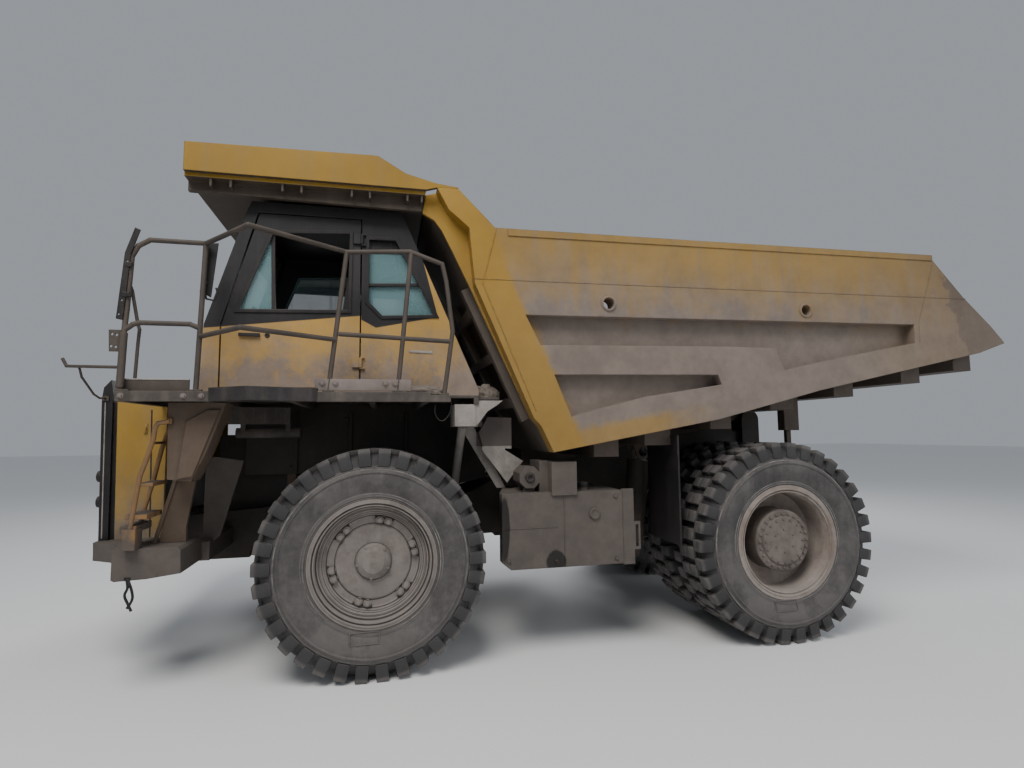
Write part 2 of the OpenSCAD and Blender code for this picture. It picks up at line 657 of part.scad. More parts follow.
hub_r = 150;
hub_face_r = 330;
module rear_rims() {
    rim_barrel(-wheelbase, outer_tyre_y);
    turned(-wheelbase, outer_tyre_y, [[hub_r + fit, -200], [hub_face_r, -200], [hub_face_r, -110],
        [rim_in + 5, -90], [rim_in + 5, -30], [hub_face_r, -50], [hub_face_r, 185], [310, 200],
        [260, 200], [250, 218], [0, 218], [0, 160], [hub_r + fit, 160]]);
    rim_barrel(-wheelbase, inner_tyre_y);
    turned(-wheelbase, inner_tyre_y, [[hub_r + fit, -100], [hub_face_r, -100], [hub_face_r, 10],
        [rim_in + 5, -10], [rim_in + 5, 50], [hub_face_r, 70], [hub_face_r, 150], [hub_r + fit, 150]]);
    // Spacer between the two rims
    turned(-wheelbase, inner_tyre_y, [[545, bead + lip - 1], [585, bead + lip - 1],
        [585, dual_gap - bead - lip + 1], [545, dual_gap - bead - lip + 1]]);
}
module rear_rims_left() { color(steel) from_axle() rear_rims(); }
module rear_rims_right() { color(steel) from_axle() mirror([0, 1, 0]) rear_rims(); }
module rear_tyres() {
    tyre(-wheelbase, outer_tyre_y);
    tyre(-wheelbase, inner_tyre_y);
}
module rear_tyres_left() { color(tyre_colour) from_axle() rear_tyres(); }
module rear_tyres_right() { color(tyre_colour) from_axle() mirror([0, 1, 0]) rear_tyres(); }

link_rear = -wheelbase + 340;
link_y = 360;
module rear_axle() {
    half = outer_tyre_y + 150;
    color(dark) from_axle() {
        turned(-wheelbase, 0, [[0, -half], [hub_r, -half], [hub_r, -700], [230, -700], [230, -460],
            [380, -250], [400, -120], [400, 120], [380, 250], [230, 460], [230, 700], [hub_r, 700],
            [hub_r, half], [0, half]]);
        long_bar(-wheelbase + 300, -wheelbase + 420, 0, axle_z, 130);
        both_sides() {
            // Seat of the strut and bracket of the link
            block([-wheelbase - 110, 580, axle_z + 150], [-wheelbase + 110, 700, axle_z + 250]);
            block([-wheelbase + 100, link_y - 40, 830], [link_rear, link_y + 40, 970]);
        }
    }
}

module rear_suspension() {
    front = link_rear + 1200;
    color(steel) from_axle() both_sides() {
        translate([-wheelbase, rear_strut_y, axle_z + 250]) cylinder(r = 80, h = 400, $fn = 48);
        translate([-wheelbase, rear_strut_y, axle_z + 600])
            cylinder(r = 105, h = rear_strut_top - axle_z - 600 - seat, $fn = 48);
        long_bar(link_rear, front, link_y, 900, 60);
        block([front, link_y - 40, 830], [front + 140, rail_y - rail_w - seat, 1250]);
    }
}

module mud_flaps() {
    color(dark) from_axle() both_sides()
        block([-wheelbase + 1166, 1340, 1050], [-wheelbase + 1186, 2050, 2200]);
}

module lamps() {
    color("#e8e4d8") from_axle() both_sides() for (z = [1600, 1850])
        translate([guard_front(z + 45) + seat, 1085, z]) rotate([0, 90, 0])
            cylinder(r = 45, h = 30, $fn = 32);
}

module valve_box() {
    beam_z = deck_z - deck_edge;
    color(steel) from_axle() {
        block([-1007, 1350, 2313], [-789, 1760, beam_z]);
        // Hooked plate behind it
        side_slab([[-1006, 2313], [-1039, 2345], [-1130, 2466], [-1221, 2523], [-1296, beam_z + 40],
            [-1036, beam_z + 40], [-1036, beam_z], [-1006, beam_z]], 1730, 1755);
        // Lower box with its bridge and hanger plate
        side_slab([[-1081, 2249], [-1176, 2417], [-1440, 2407], [-1440, 2067], [-1123, 2098]], 1200, 1500);
        block([-1120, 1360, 2313], [-1000, 1490, 2380]);
        side_slab([[-1114, 2101], [-1300, 2101], [-1567, 1935], [-1386, 1705], [-1114, 2060]], 1480, 1500);
        // Diagonal bar down to the tank
        side_slab([[-887, 2330], [-1035, 2330], [-1398, tank_z + tank_h + seat],
            [-1298, tank_z + tank_h + seat]], 1340, 1370);
        difference() {
            bar([-900, 1500, 2320], [-900, rail_y - 40, 1360], 45);
            block([-1000, rail_y - 200, 1200], [-800, rail_y, 1600]);
        }
    }
}

module cab_door() {
    color(paint) from_axle() {
        difference() {
            side_slab(door_outline, cab_y - cab_wall, cab_y);
            side_slab(door_window, cab_y - cab_wall - 1, cab_y + 1);
        }
        for (z = door_hinges) difference() {
            union() {
                translate([door_hinge_x, door_hinge_y, z]) cylinder(r = 16, h = hinge_h, $fn = 32);
                block([door_hinge_x + 8, cab_y - 1, z], [door_hinge_x + 80, cab_y + 25, z + hinge_h]);
            }
            translate([door_hinge_x, door_hinge_y, z - 1])
                cylinder(r = hinge_pin_r + fit, h = hinge_h + 2, $fn = 32);
        }
        block([1084, cab_y - 1, 3185], [1271, cab_y + 30, 3215]);
    }
}
module door_glass() {
    color("#7fa8a0", 0.4) from_axle() difference() {
        side_slab(door_window, cab_y - 35, cab_y - 35 + glass_t);
        block([200, cab_y - 100, 3400], [985, cab_y, 4300]);
    }
}

// Bed outline in x and z
floor_line = [[-1737, 2043], [-3599, 2366], [-4871, 2683], [-7173, 3156], [-tail_reach, 3288]];
tail_line = [[-tail_reach + 22, 3319], [-7382, 3500], [-6993, 3843], [-6565, 4287], [-6514, 4337]];
side_outline = concat(floor_line, tail_line, [[-1159, 4305], [-788, 4675], [-576, 4671],
    [-470, 4640], [-442, 4451], [-554, 4389], [-633, 4290], [-701, 4156], [-901, 3749],
    [-1538, 2382], [-1612, 2306]]);
upper_recess = [[-1464, 3425], [-1620, 3121], [-3696, 3155], [-4331, 3153], [-4431, 2905],
    [-5141, 3052], [-6225, 3257], [-6230, 3479]];
lower_recess = [[-1757, 2824], [-1933, 2395], [-2235, 2476], [-2755, 2604], [-3640, 2740],
    [-3600, 2845]];
module bed_side() {
    difference() {
        union() {
            side_slab(side_outline, bed_inner, bed_inner + bed_plate);
            difference() {
                side_slab(concat(floor_line, tail_line, [[-1159, 4305], [-788, 4675], [-576, 4671],
                    [-690, 4458], [-896, 4285], [-950, 3722], [-1538, 2382], [-1612, 2306]]),
                    bed_inner + bed_plate - 1, bed_half_w);
                side_slab(upper_recess, bed_inner + bed_plate, bed_half_w + 1);
                side_slab(lower_recess, bed_inner + bed_plate, bed_half_w + 1);
            }
        }
        for (p = [[-2357, 3576], [-4739, 3592]]) cross_bar(p[0], p[1], bed_inner - 1, bed_half_w + 1, port_r);
    }
}
module bed_sides() { color(paint) from_axle() both_sides() bed_side(); }

sill_line = [[-1780, 1790], [-4700, 2330]];
bolsters = [[2232, 2511, 1981], [hoist_eye_x - 269, hoist_eye_x + 34, 2094], [3600, 3860, 2262],
    [4368, 4667, 2474], [5230, 5498, 2629], [6198, 6475, 2800], [7000, 7270, 2960]]; // front, rear, bottom
module bed_floor() {
    n = len(floor_line);
    color(dirt) from_axle() {
        side_slab(concat([[-1781.4, 2050.9]], [for (i = [1 : n - 1]) floor_line[i]],
            [for (i = [n - 1 : -1 : 1]) floor_line[i] + [0, bed_plate]], [[-1760.1, 2091]]),
            -bed_inner, bed_inner);
        for (b = bolsters) side_slab([[-b[0], b[2]], [-b[1], b[2]], [-b[1], b[2] + 250],
            [-b[0], b[2] + 130]], -bed_inner + 20, bed_inner - 20);
        both_sides() {
            difference() {
                union() {
                    side_slab([[-1780, 1790], [-4700, 2330], [-4850, 2410], [-5110, 2410],
                        [-5110, 2735], [-4871, 2690], [-3599, 2372], [-1795, 2056]],
                        rail_y - rail_w + 10, rail_y - 10);
                    cross_bar(-pivot_x, pivot_z, rail_y - rail_w + 10, rail_y - 10, 110);
                }
                cross_bar(-pivot_x, pivot_z, rail_y - rail_w, rail_y, pivot_r + fit);
            }
            // Ears for the hoist's eye
            for (y = [hoist_y - 115, hoist_y + 75]) difference() {
                union() {
                    side_slab([[-hoist_eye_x - 120, 2100], [-hoist_eye_x - 85, hoist_eye_z],
                        [-hoist_eye_x + 85, hoist_eye_z], [-hoist_eye_x + 120, 2100]], y, y + 40);
                    cross_bar(-hoist_eye_x, hoist_eye_z, y, y + 40, 85);
                }
                cross_bar(-hoist_eye_x, hoist_eye_z, y - 1, y + 41, hoist_pin_r);
            }
        }
    }
}

// Front face of the headboard in x and z, and a point on its long slope: distance up it, height over it
face = [[-470, 4640], [-560, 4440], [-720, 4180], [-925, 3749], [-1560, 2382], [-1737, 2043]];
slope = (face[3] - face[4]) / norm(face[3] - face[4]);
function on_face(s, h) = face[4] + s * slope + h * [slope[1], -slope[0]];
module bed_front() {
    n = len(face);
    color(dirt) from_axle() {
        side_slab(concat(face, [for (i = [n - 1 : -1 : 0]) face[i] + [-bed_plate * 1.1, i == n - 1 ? 8 : 0]]),
            -bed_inner, bed_inner);
        // Upright and cross beams on the front of the headboard
        for (y = [-1850, -900, -50, 800, 1750])
            side_slab([on_face(10, -1), on_face(1500, -1), on_face(1500, 90), on_face(10, 90)], y, y + 100);
        for (s = [180, 700, 1220])
            side_slab([on_face(s, -1), on_face(s + 100, -1), on_face(s + 100, 90), on_face(s, 90)],
                -1850, 1850);
    }
}

canopy_x = 1706;
module canopy() {
    curb = [[canopy_x, 4640], [canopy_x, 4910], [-4, curb_top], [-270, 4788], [-561, 4715],
        [-788, 4690], [-788, 4675], [-576, 4671], [-470, 4640]];
    // Places of the two plates of each gusset
    gussets = [[1500, 1330], [880, 710], [250, 80], [-280, -420]];
    color(paint) from_axle() {
        side_slab([[canopy_x, 4600], [-464, 4600], [-470, 4640], [canopy_x, 4640]],
            -bed_half_w + 40, bed_half_w - 40);
        both_sides() {
            side_slab(curb, bed_half_w - 41, bed_half_w);
            side_slab([[canopy_x, 4510], [canopy_x, 4601], [-464.2, 4601], [-445.4, 4474]], 1900, 1950);
            for (pair = gussets) for (x = pair) block([x - 20, 1949, 4530], [x, 2050, 4601]);
        }
        block([canopy_x - 40, -bed_half_w + 41, 4639], [canopy_x, bed_half_w - 41, 4900]);
        for (x = [1100, 500, -100]) block([x - 40, -bed_half_w + 41, 4639], [x, bed_half_w - 41, 4780]);
    }
}

module rock_ejectors() {
    y = (outer_tyre_y + inner_tyre_y) / 2;
    color(dark) from_axle() both_sides() {
        side_slab([[-5000, 2240], [-5000, 2709.5], [-4871, 2683], [-4800, 2665.3], [-4800, 2240]],
            y - 60, y + 60);
        block([-4910, y - 25, 1850], [-4850, y + 25, 2260]);
    }
}

// Hoist cylinder along its own axis: the foot pin is at the start of the axis
hoist_l = norm([hoist_eye_x - hoist_foot_x, hoist_eye_z - hoist_foot_z]);
hoist_lean = atan2(hoist_eye_x - hoist_foot_x, hoist_eye_z - hoist_foot_z);
stage_r = hoist_r - 18;
rod_r = hoist_r - 38;
module along_hoist() {
    from_axle() translate([-hoist_foot_x, hoist_y, hoist_foot_z]) rotate([0, -hoist_lean, 0]) children();
}
// Round eye across the start of the hoist's axis
module hoist_eye(r, w) { rotate([90, 0, 0]) cylinder(r = r, h = w, center = true, $fn = 48); }
module hoist_barrel() {
    color(paint) along_hoist() difference() {
        union() {
            hoist_eye(85, 120);
            translate([-80, -60, 0]) cube([160, 120, 105]);
            translate([0, 0, 104]) cylinder(r = hoist_r, h = hoist_l - 204, $fn = 48);
        }
        hoist_eye(hoist_pin_r + fit, 130);
        translate([0, 0, 130]) cylinder(r = stage_r + fit, h = hoist_l, $fn = 48);
    }
}
module hoist_stage() {
    color(steel) along_hoist() difference() {
        translate([0, 0, 132]) cylinder(r = stage_r, h = hoist_l - 226, $fn = 48);
        translate([0, 0, 150]) cylinder(r = rod_r + fit, h = hoist_l, $fn = 48);
    }
}
module hoist_rod() {
    color("silver") along_hoist() difference() {
        union() {
            translate([0, 0, 152]) cylinder(r = rod_r, h = hoist_l - 257, $fn = 48);
            translate([0, 0, hoist_l]) hoist_eye(70, 120);
            translate([-65, -60, hoist_l - 110]) cube([130, 120, 110]);
        }
        translate([0, 0, hoist_l]) hoist_eye(hoist_pin_r, 130);
    }
}
module hoist_barrel_left() { hoist_barrel(); }
module hoist_stage_left() { hoist_stage(); }
module hoist_rod_left() { hoist_rod(); }
module hoist_barrel_right() { mirror([0, 1, 0]) hoist_barrel(); }
module hoist_stage_right() { mirror([0, 1, 0]) hoist_stage(); }
module hoist_rod_right() { mirror([0, 1, 0]) hoist_rod(); }

main_frame();
engine();
drive_line();
grille();
hood();
bumper();
platform();
platform_legs();
ladders();
handrail_left();
handrail_right();
mirrors();
cab_shell();
cab_glass();
seat();
dashboard();
fuel_tank();
oil_tank();
front_suspension();
rear_axle();
rear_suspension();
mud_flaps();
lamps();
valve_box();
cab_door();
door_glass();
knuckle_left();
knuckle_right();
tie_rod();
front_rim_left();
front_rim_right();
front_tyre_left();
front_tyre_right();
rear_rims_left();
rear_rims_right();
rear_tyres_left();
rear_tyres_right();
bed_floor();
bed_sides();
bed_front();
canopy();
rock_ejectors();
hoist_barrel_left();
hoist_stage_left();
hoist_rod_left();
hoist_barrel_right();
hoist_stage_right();
hoist_rod_right();
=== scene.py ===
import math

import bpy
import bmesh
from mathutils import Matrix, Vector, noise
from mathutils.geometry import interpolate_bezier


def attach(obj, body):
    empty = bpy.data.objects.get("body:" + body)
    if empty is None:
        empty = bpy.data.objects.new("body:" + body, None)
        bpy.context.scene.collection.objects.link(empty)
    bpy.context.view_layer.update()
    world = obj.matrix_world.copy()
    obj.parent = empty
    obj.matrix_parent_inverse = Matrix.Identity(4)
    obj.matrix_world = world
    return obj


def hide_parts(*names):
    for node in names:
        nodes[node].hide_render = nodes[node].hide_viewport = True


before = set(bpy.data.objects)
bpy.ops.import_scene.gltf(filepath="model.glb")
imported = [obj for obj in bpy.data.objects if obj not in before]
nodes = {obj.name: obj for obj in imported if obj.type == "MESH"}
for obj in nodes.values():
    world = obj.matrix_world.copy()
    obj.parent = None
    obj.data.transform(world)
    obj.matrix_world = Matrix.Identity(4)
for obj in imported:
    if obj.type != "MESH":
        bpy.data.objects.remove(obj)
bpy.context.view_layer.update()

# Axles in metres: x runs forward, y to the left, z up.

axleX = 2.415
rearX = -1.885
axleZ = 1.0542
outward = (0, 1, 0)
wholeTurn = 2 * math.pi


# Shader tools: small calls that add a node, link sockets and read numbers.

def newMaterial(name):
    mat = bpy.data.materials.new(name)
    mat.use_nodes = True
    mat.node_tree.nodes.clear()
    return mat, mat.node_tree


def put(tree, kind, **settings):
    place = len(tree.nodes)  # nodes stand in rows of ten, in the order they are made
    n = tree.nodes.new(kind)
    n.location = (place % 10 * 200, -(place // 10) * 260)
    for key, value in settings.items():
        setattr(n, key, value)
    return n


def feed(tree, value, socket):
    if isinstance(value, (int, float)):
        socket.default_value = value
    elif isinstance(value, tuple):
        socket.default_value = (*value, 1)
    else:
        tree.links.new(value, socket)


def math2(tree, operation, a, b=None, clamp=False):
    n = put(tree, "ShaderNodeMath", operation=operation, use_clamp=clamp)
    feed(tree, a, n.inputs[0])
    if b is not None:
        feed(tree, b, n.inputs[1])
    return n.outputs[0]


def plus(tree, a, b):
    return math2(tree, "ADD", a, b)


def minus(tree, a, b):
    return math2(tree, "SUBTRACT", a, b)


def times(tree, a, b):
    return math2(tree, "MULTIPLY", a, b)


def either(tree, a, b):
    return math2(tree, "MAXIMUM", a, b)


def rangeOf(tree, value, low, high):
    n = put(tree, "ShaderNodeMapRange", interpolation_type="SMOOTHSTEP")
    feed(tree, value, n.inputs["Value"])
    feed(tree, low, n.inputs["From Min"])
    feed(tree, high, n.inputs["From Max"])
    return n.outputs["Result"]


def noiseOf(tree, vector, scale, detail, roughness):
    n = put(tree, "ShaderNodeTexNoise")
    feed(tree, vector, n.inputs["Vector"])
    feed(tree, scale, n.inputs["Scale"])
    feed(tree, detail, n.inputs["Detail"])
    feed(tree, roughness, n.inputs["Roughness"])
    return n.outputs["Fac"]


def mapped(tree, vector, factors, shift=(0, 0, 0)):
    n = put(tree, "ShaderNodeMapping")
    n.inputs["Scale"].default_value = factors
    n.inputs["Location"].default_value = shift
    feed(tree, vector, n.inputs["Vector"])
    return n.outputs["Vector"]


def axesOf(tree, vector):
    n = put(tree, "ShaderNodeSeparateXYZ")
    feed(tree, vector, n.inputs[0])
    return tuple(n.outputs)


def mixColour(tree, factor, a, b):
    n = put(tree, "ShaderNodeMix", data_type="RGBA")
    for value, place in ((factor, 0), (a, 6), (b, 7)):
        feed(tree, value, n.inputs[place])
    return n.outputs[2]


def mixValue(tree, factor, a, b):
    n = put(tree, "ShaderNodeMix", data_type="FLOAT")
    for value, place in ((factor, 0), (a, 2), (b, 3)):
        feed(tree, value, n.inputs[place])
    return n.outputs[0]


def surfaceOut(tree, shader):
    feed(tree, shader.outputs[0], put(tree, "ShaderNodeOutputMaterial").inputs["Surface"])


# Groups of shader nodes that the materials share: a film of dust, and wear on the edges.

def newGroup(name, inputs, outputs):
    group = bpy.data.node_groups.new(name, "ShaderNodeTree")
    for label, value in inputs.items():
        kind = "NodeSocketVector" if value is None else "NodeSocketFloat"
        socket = group.interface.new_socket(label, in_out="INPUT", socket_type=kind)
        if value is not None:
            socket.default_value = value
    for label, kind in outputs.items():
        group.interface.new_socket(label, in_out="OUTPUT", socket_type=kind)
    return group, put(group, "NodeGroupInput").outputs, put(group, "NodeGroupOutput").inputs


dustValues = {
    "wobble": (1.7, 5, 0.6), "wobble height": 0.9,
    "patches": (3.1, 8, 0.62), "patch range": (0.36, 0.64), "patch share": 0.65,
    "fine": (24, 6, 0.7), "fine range": (0.3, 0.7), "fine share": 0.35,
    "least film": 0.35, "least low": 0.5,
    "run stretch": (9, 9, 0.45), "runs": (1.0, 7, 0.66), "run range": (0.46, 0.66),
    "top range": (0.35, 0.95), "even level": 0.5,
}


def dustGroup():
    v = dustValues
    group, source, out = newGroup("dust film", {
        "Position": None, "Film": 0.5, "On top": 0.6, "Full below": 1.0, "None above": 3.0, "Streaks": 0.4,
        "Even": 0.0,
    }, {"Mask": "NodeSocketFloat"})
    where, even = source["Position"], source["Even"]
    wobble = mixValue(group, even, noiseOf(group, where, *v["wobble"]), v["even level"])
    height = plus(group, axesOf(group, where)[2], times(group, wobble, v["wobble height"]))
    low = rangeOf(group, height, source["None above"], source["Full below"])
    patches = rangeOf(group, noiseOf(group, where, *v["patches"]), *v["patch range"])
    fine = rangeOf(group, noiseOf(group, where, *v["fine"]), *v["fine range"])
    grain = plus(group, times(group, patches, v["patch share"]), times(group, fine, v["fine share"]))
    grain = mixValue(group, even, grain, v["even level"])
    film = times(group, plus(group, grain, v["least film"]), source["Film"])
    bottom = times(group, low, plus(group, grain, v["least low"]))
    lines = mapped(group, where, v["run stretch"])
    runs = times(group, rangeOf(group, noiseOf(group, lines, *v["runs"]), *v["run range"]), source["Streaks"])
    rise = axesOf(group, put(group, "ShaderNodeNewGeometry").outputs["Normal"])[2]
    top = times(group, rangeOf(group, rise, *v["top range"]), source["On top"])
    total = math2(group, "ADD", plus(group, film, bottom), plus(group, runs, top), clamp=True)
    feed(group, total, out["Mask"])
    return group


wearValues = {"chips": (14, 7, 0.7), "chip range": (0.42, 0.62), "bend range": (0.02, 0.16), "samples": 6}


def wearGroup():
    v = wearValues
    group, source, out = newGroup("edge wear", {"Position": None, "Width": 0.012},
                                  {"Mask": "NodeSocketFloat", "Soft normal": "NodeSocketVector"})
    soft = put(group, "ShaderNodeBevel", samples=v["samples"])
    feed(group, source["Width"], soft.inputs["Radius"])
    dot = put(group, "ShaderNodeVectorMath", operation="DOT_PRODUCT")
    feed(group, soft.outputs[0], dot.inputs[0])
    feed(group, put(group, "ShaderNodeNewGeometry").outputs["Normal"], dot.inputs[1])
    bend = minus(group, 1.0, dot.outputs["Value"])
    chips = rangeOf(group, noiseOf(group, source["Position"], *v["chips"]), *v["chip range"])
    feed(group, rangeOf(group, times(group, bend, chips), *v["bend range"]), out["Mask"])
    feed(group, soft.outputs[0], out["Soft normal"])
    return group


dustFilm = dustGroup()
edgeWear = wearGroup()


def atRest(tree):
    return put(tree, "ShaderNodeTexCoord").outputs["Object"]


def addDust(tree, where, film, onTop, below, above, streaks, even=0.0):
    n = put(tree, "ShaderNodeGroup", node_tree=dustFilm)
    feed(tree, where, n.inputs["Position"])
    for label, value in (("Film", film), ("On top", onTop), ("Full below", below), ("None above", above),
                         ("Streaks", streaks), ("Even", even)):
        feed(tree, value, n.inputs[label])
    return n.outputs["Mask"]


def addWear(tree, where, width):
    n = put(tree, "ShaderNodeGroup", node_tree=edgeWear)
    feed(tree, where, n.inputs["Position"])
    feed(tree, width, n.inputs["Width"])
    return n.outputs["Mask"], n.outputs["Soft normal"]


# Paint under dust. A split mask gives part of a piece its second colour, and spare keeps dust off that part;
# on some pieces that second colour is painted shade. A clean mask takes the dust off elsewhere; on the tyres
# it bares the dark rubber between the lugs as painted shade.

yellow = (0.42, 0.245, 0.030)
dust = (0.205, 0.170, 0.140)
brownDust = (0.105, 0.084, 0.070)
# The darkest dust is partly painted shade under the truck.
darkDustAndShade = (0.062, 0.052, 0.045)
coatValues = {
    "fade": (0.9, 6, 0.6), "faded": 0.78, "tone": (3.6, 9, 0.72), "darker dust": 0.76,
    "tone range": (0.3, 0.7),
    "specular": 0.3, "dusty roughness": 0.9,
    "lumps": (38, 8, 0.7), "dust height": 0.3, "strength": 0.35, "distance": 0.006,
}


def coated(name, base, film=0.4, onTop=0.6, below=0.6, above=2.6, streaks=0.3, even=0.0, wear=0.010,
           bare=(0.075, 0.055, 0.042), dusty=dust, gloss=0.42, bump=0.25, second=None, split=None, spare=0.0,
           cleanAndShade=None):
    v = coatValues
    mat, tree = newMaterial(name)
    where = atRest(tree)
    fade = rangeOf(tree, noiseOf(tree, where, *v["fade"]), *v["tone range"])
    colour = mixColour(tree, fade, base, tuple(c * v["faded"] for c in base))
    mask = addDust(tree, where, film, onTop, below, above, streaks, even)
    edge, soft = addWear(tree, where, wear)
    if split:
        mark = split(tree, where)
        colour = mixColour(tree, mark, colour, second)
        mask = times(tree, mask, minus(tree, 1.0, times(tree, mark, spare)))
    if cleanAndShade:
        mask = times(tree, mask, cleanAndShade(tree, where))
    tone = rangeOf(tree, noiseOf(tree, where, *v["tone"]), *v["tone range"])
    film2 = mixColour(tree, tone, dusty, tuple(c * v["darker dust"] for c in dusty))
    shader = put(tree, "ShaderNodeBsdfPrincipled")
    shader.inputs["Specular IOR Level"].default_value = v["specular"]
    feed(tree, mixColour(tree, mask, mixColour(tree, edge, colour, bare), film2), shader.inputs["Base Color"])
    rough = plus(tree, times(tree, mask, v["dusty roughness"] - gloss), gloss)
    feed(tree, rough, shader.inputs["Roughness"])
    lumps = times(tree, noiseOf(tree, where, *v["lumps"]), bump)
    relief = put(tree, "ShaderNodeBump")
    relief.inputs["Strength"].default_value = v["strength"]
    relief.inputs["Distance"].default_value = v["distance"]
    feed(tree, plus(tree, lumps, times(tree, mask, v["dust height"])), relief.inputs["Height"])
    feed(tree, soft, relief.inputs["Normal"])
    feed(tree, relief.outputs[0], shader.inputs["Normal"])
    surfaceOut(tree, shader)
    return mat


glazeValues = {
    "dust": {"onTop": 0.3, "below": 0.0, "above": 0.1, "streaks": 0.25},
    "roughness": 0.05, "dusty roughness": 0.5, "dusty alpha": 0.45,
}


def glazed(name, tint, alpha, film):
    v = glazeValues
    mat, tree = newMaterial(name)
    mask = addDust(tree, atRest(tree), film, **v["dust"])
    rough = plus(tree, times(tree, mask, v["dusty roughness"]), v["roughness"])
    opaque = math2(tree, "ADD", times(tree, mask, v["dusty alpha"]), alpha, clamp=True)
    shader = put(tree, "ShaderNodeBsdfPrincipled")
    feed(tree, mixColour(tree, mask, tint, dust), shader.inputs["Base Color"])
    feed(tree, rough, shader.inputs["Roughness"])
    feed(tree, opaque, shader.inputs["Alpha"])
    surfaceOut(tree, shader)
    return mat


def paintOn(names, mat):
    for name in names:
        for s in nodes[name].material_slots:
            s.material = mat


# Masks of the cab: black above the belt lines, the rear pillar, and the door's handle, whose black is painted
# shade for its recess.

cabLines = {
    "front belt": (3.995, 3.256, 2.622, 3.415), "rear belt": (2.420, 3.305, 1.813, 3.432),
    "chamfer": (2.420, 3.305, 2.622, 3.415), "rear pillar": (1.790, 3.400, 1.949, 4.000),
    "front starts": (2.560, 2.562), "handle out": (1.784, 1.786), "handle front": (3.400, 3.410),
}
raggedEdge = (6.0, 8, 0.7)


def lineMask(tree, where, x0, z0, x1, z1, soft=0.006, ragged=0.0):
    x, y, z = axesOf(tree, where)
    slope = (z1 - z0) / (x1 - x0)
    above = minus(tree, z, plus(tree, times(tree, x, slope), z0 - slope * x0))
    if ragged:
        rough = minus(tree, noiseOf(tree, where, *raggedEdge), 0.5)
        above = plus(tree, above, times(tree, rough, ragged))
    return rangeOf(tree, above, -soft, soft)


def cabBlackAndHandleShade(tree, where):
    v = cabLines
    x, y, z = axesOf(tree, where)
    front = lineMask(tree, where, *v["front belt"])
    chamfer = lineMask(tree, where, *v["chamfer"])
    rear = math2(tree, "MINIMUM", lineMask(tree, where, *v["rear belt"]), chamfer)
    rear = times(tree, rear, minus(tree, 1.0, lineMask(tree, where, *v["rear pillar"])))
    # Painted shade: the door's handle is blacked for the dark recess it sits in.
    handle = times(tree, rangeOf(tree, y, *v["handle out"]), rangeOf(tree, x, *v["handle front"]))
    return either(tree, mixValue(tree, rangeOf(tree, x, *v["front starts"]), rear, front), handle)


# Masks of the wheels, by the distance from the wheel's own centre. The dark rim grooves and the dust-free
# gaps between the tyre lugs are painted shade.

wheelMarks = {
    "rim grooves": [(0.593, 0.006), (0.545, 0.005), (0.513, 0.007), (0.492, 0.004), (0.462, 0.004),
                    (0.424, 0.007), (0.352, 0.006)],
    "tyre rings": [(0.868, 0.007), (0.618, 0.006), (0.640, 0.004)], "line core": 0.45,
    "hub": (0.345, 0.335), "tread": (0.885, 0.905), "lug tops": (1.030, 1.000), "gap share": 0.80,
    "chips": (9, 8, 0.7), "chip range": (0.34, 0.60),
}


def fromWheel(tree, where):
    x, y, z = axesOf(tree, where)
    inFront = math2(tree, "GREATER_THAN", x, (axleX + rearX) / 2)
    along = minus(tree, x, plus(tree, times(tree, inFront, axleX - rearX), rearX))
    rise = minus(tree, z, axleZ)
    return math2(tree, "SQRT", plus(tree, times(tree, along, along), times(tree, rise, rise)))


def ringLines(tree, where, lines):
    radius = fromWheel(tree, where)
    total = 0.0
    for middle, half in lines:
        off = math2(tree, "ABSOLUTE", minus(tree, radius, middle))
        total = either(tree, total, rangeOf(tree, off, half, half * wheelMarks["line core"]))
    return total


# Painted shade: a near black in the rim's grooves.
def rimGrooveShade(tree, where):
    return ringLines(tree, where, wheelMarks["rim grooves"])


def hubArea(tree, where):
    return rangeOf(tree, fromWheel(tree, where), *wheelMarks["hub"])


def tyreScuffs(tree, where):
    v = wheelMarks
    chips = rangeOf(tree, noiseOf(tree, where, *v["chips"]), *v["chip range"])
    return times(tree, ringLines(tree, where, v["tyre rings"]), chips)


# Painted shade: the tread between the lugs keeps little dust, so its dark rubber shows.
def treadGapShade(tree, where):
    v = wheelMarks
    radius = fromWheel(tree, where)
    low = times(tree, rangeOf(tree, radius, *v["tread"]), rangeOf(tree, radius, *v["lug tops"]))
    return minus(tree, 1.0, times(tree, low, v["gap share"]))


# Masks of the tank, the valve box, the canopy and the deck. The canopy and deck masks are painted shade.

stainValues = {
    "spots": [(1.165, 1.30, 0.055, 0.32), (0.640, 0.95, 0.10, 0.12)],  # x, z, half length, half height
    "size share": 0.5, "ragged": (5.5, 8, 0.68), "ragged share": 0.30, "edge": (0.72, 0.60),
}
pieceEdges = {
    "box behind": (1.345, 1.340), "box inside": (1.520, 1.510), "box above": (2.100, 2.104),
    "canopy rail": (4.606, 4.600), "canopy facing down": (-0.25, -0.75), "deck side": (2.2005, 2.2015),
}


def tankStain(tree, where):
    v = stainValues
    rough = times(tree, noiseOf(tree, where, *v["ragged"]), v["ragged share"])
    total = 0.0
    for x, z, long, tall in v["spots"]:
        size = put(tree, "ShaderNodeVectorMath", operation="LENGTH")
        feed(tree, mapped(tree, where, (1 / long, 0, 1 / tall), (-x / long, 0, -z / tall)), size.inputs[0])
        reach = plus(tree, times(tree, size.outputs["Value"], v["size share"]), rough)
        total = either(tree, total, rangeOf(tree, reach, *v["edge"]))
    return total


def lowerBox(tree, where):
    v = pieceEdges
    x, y, z = axesOf(tree, where)
    behind = times(tree, rangeOf(tree, x, *v["box behind"]), rangeOf(tree, y, *v["box inside"]))
    return times(tree, behind, rangeOf(tree, z, *v["box above"]))


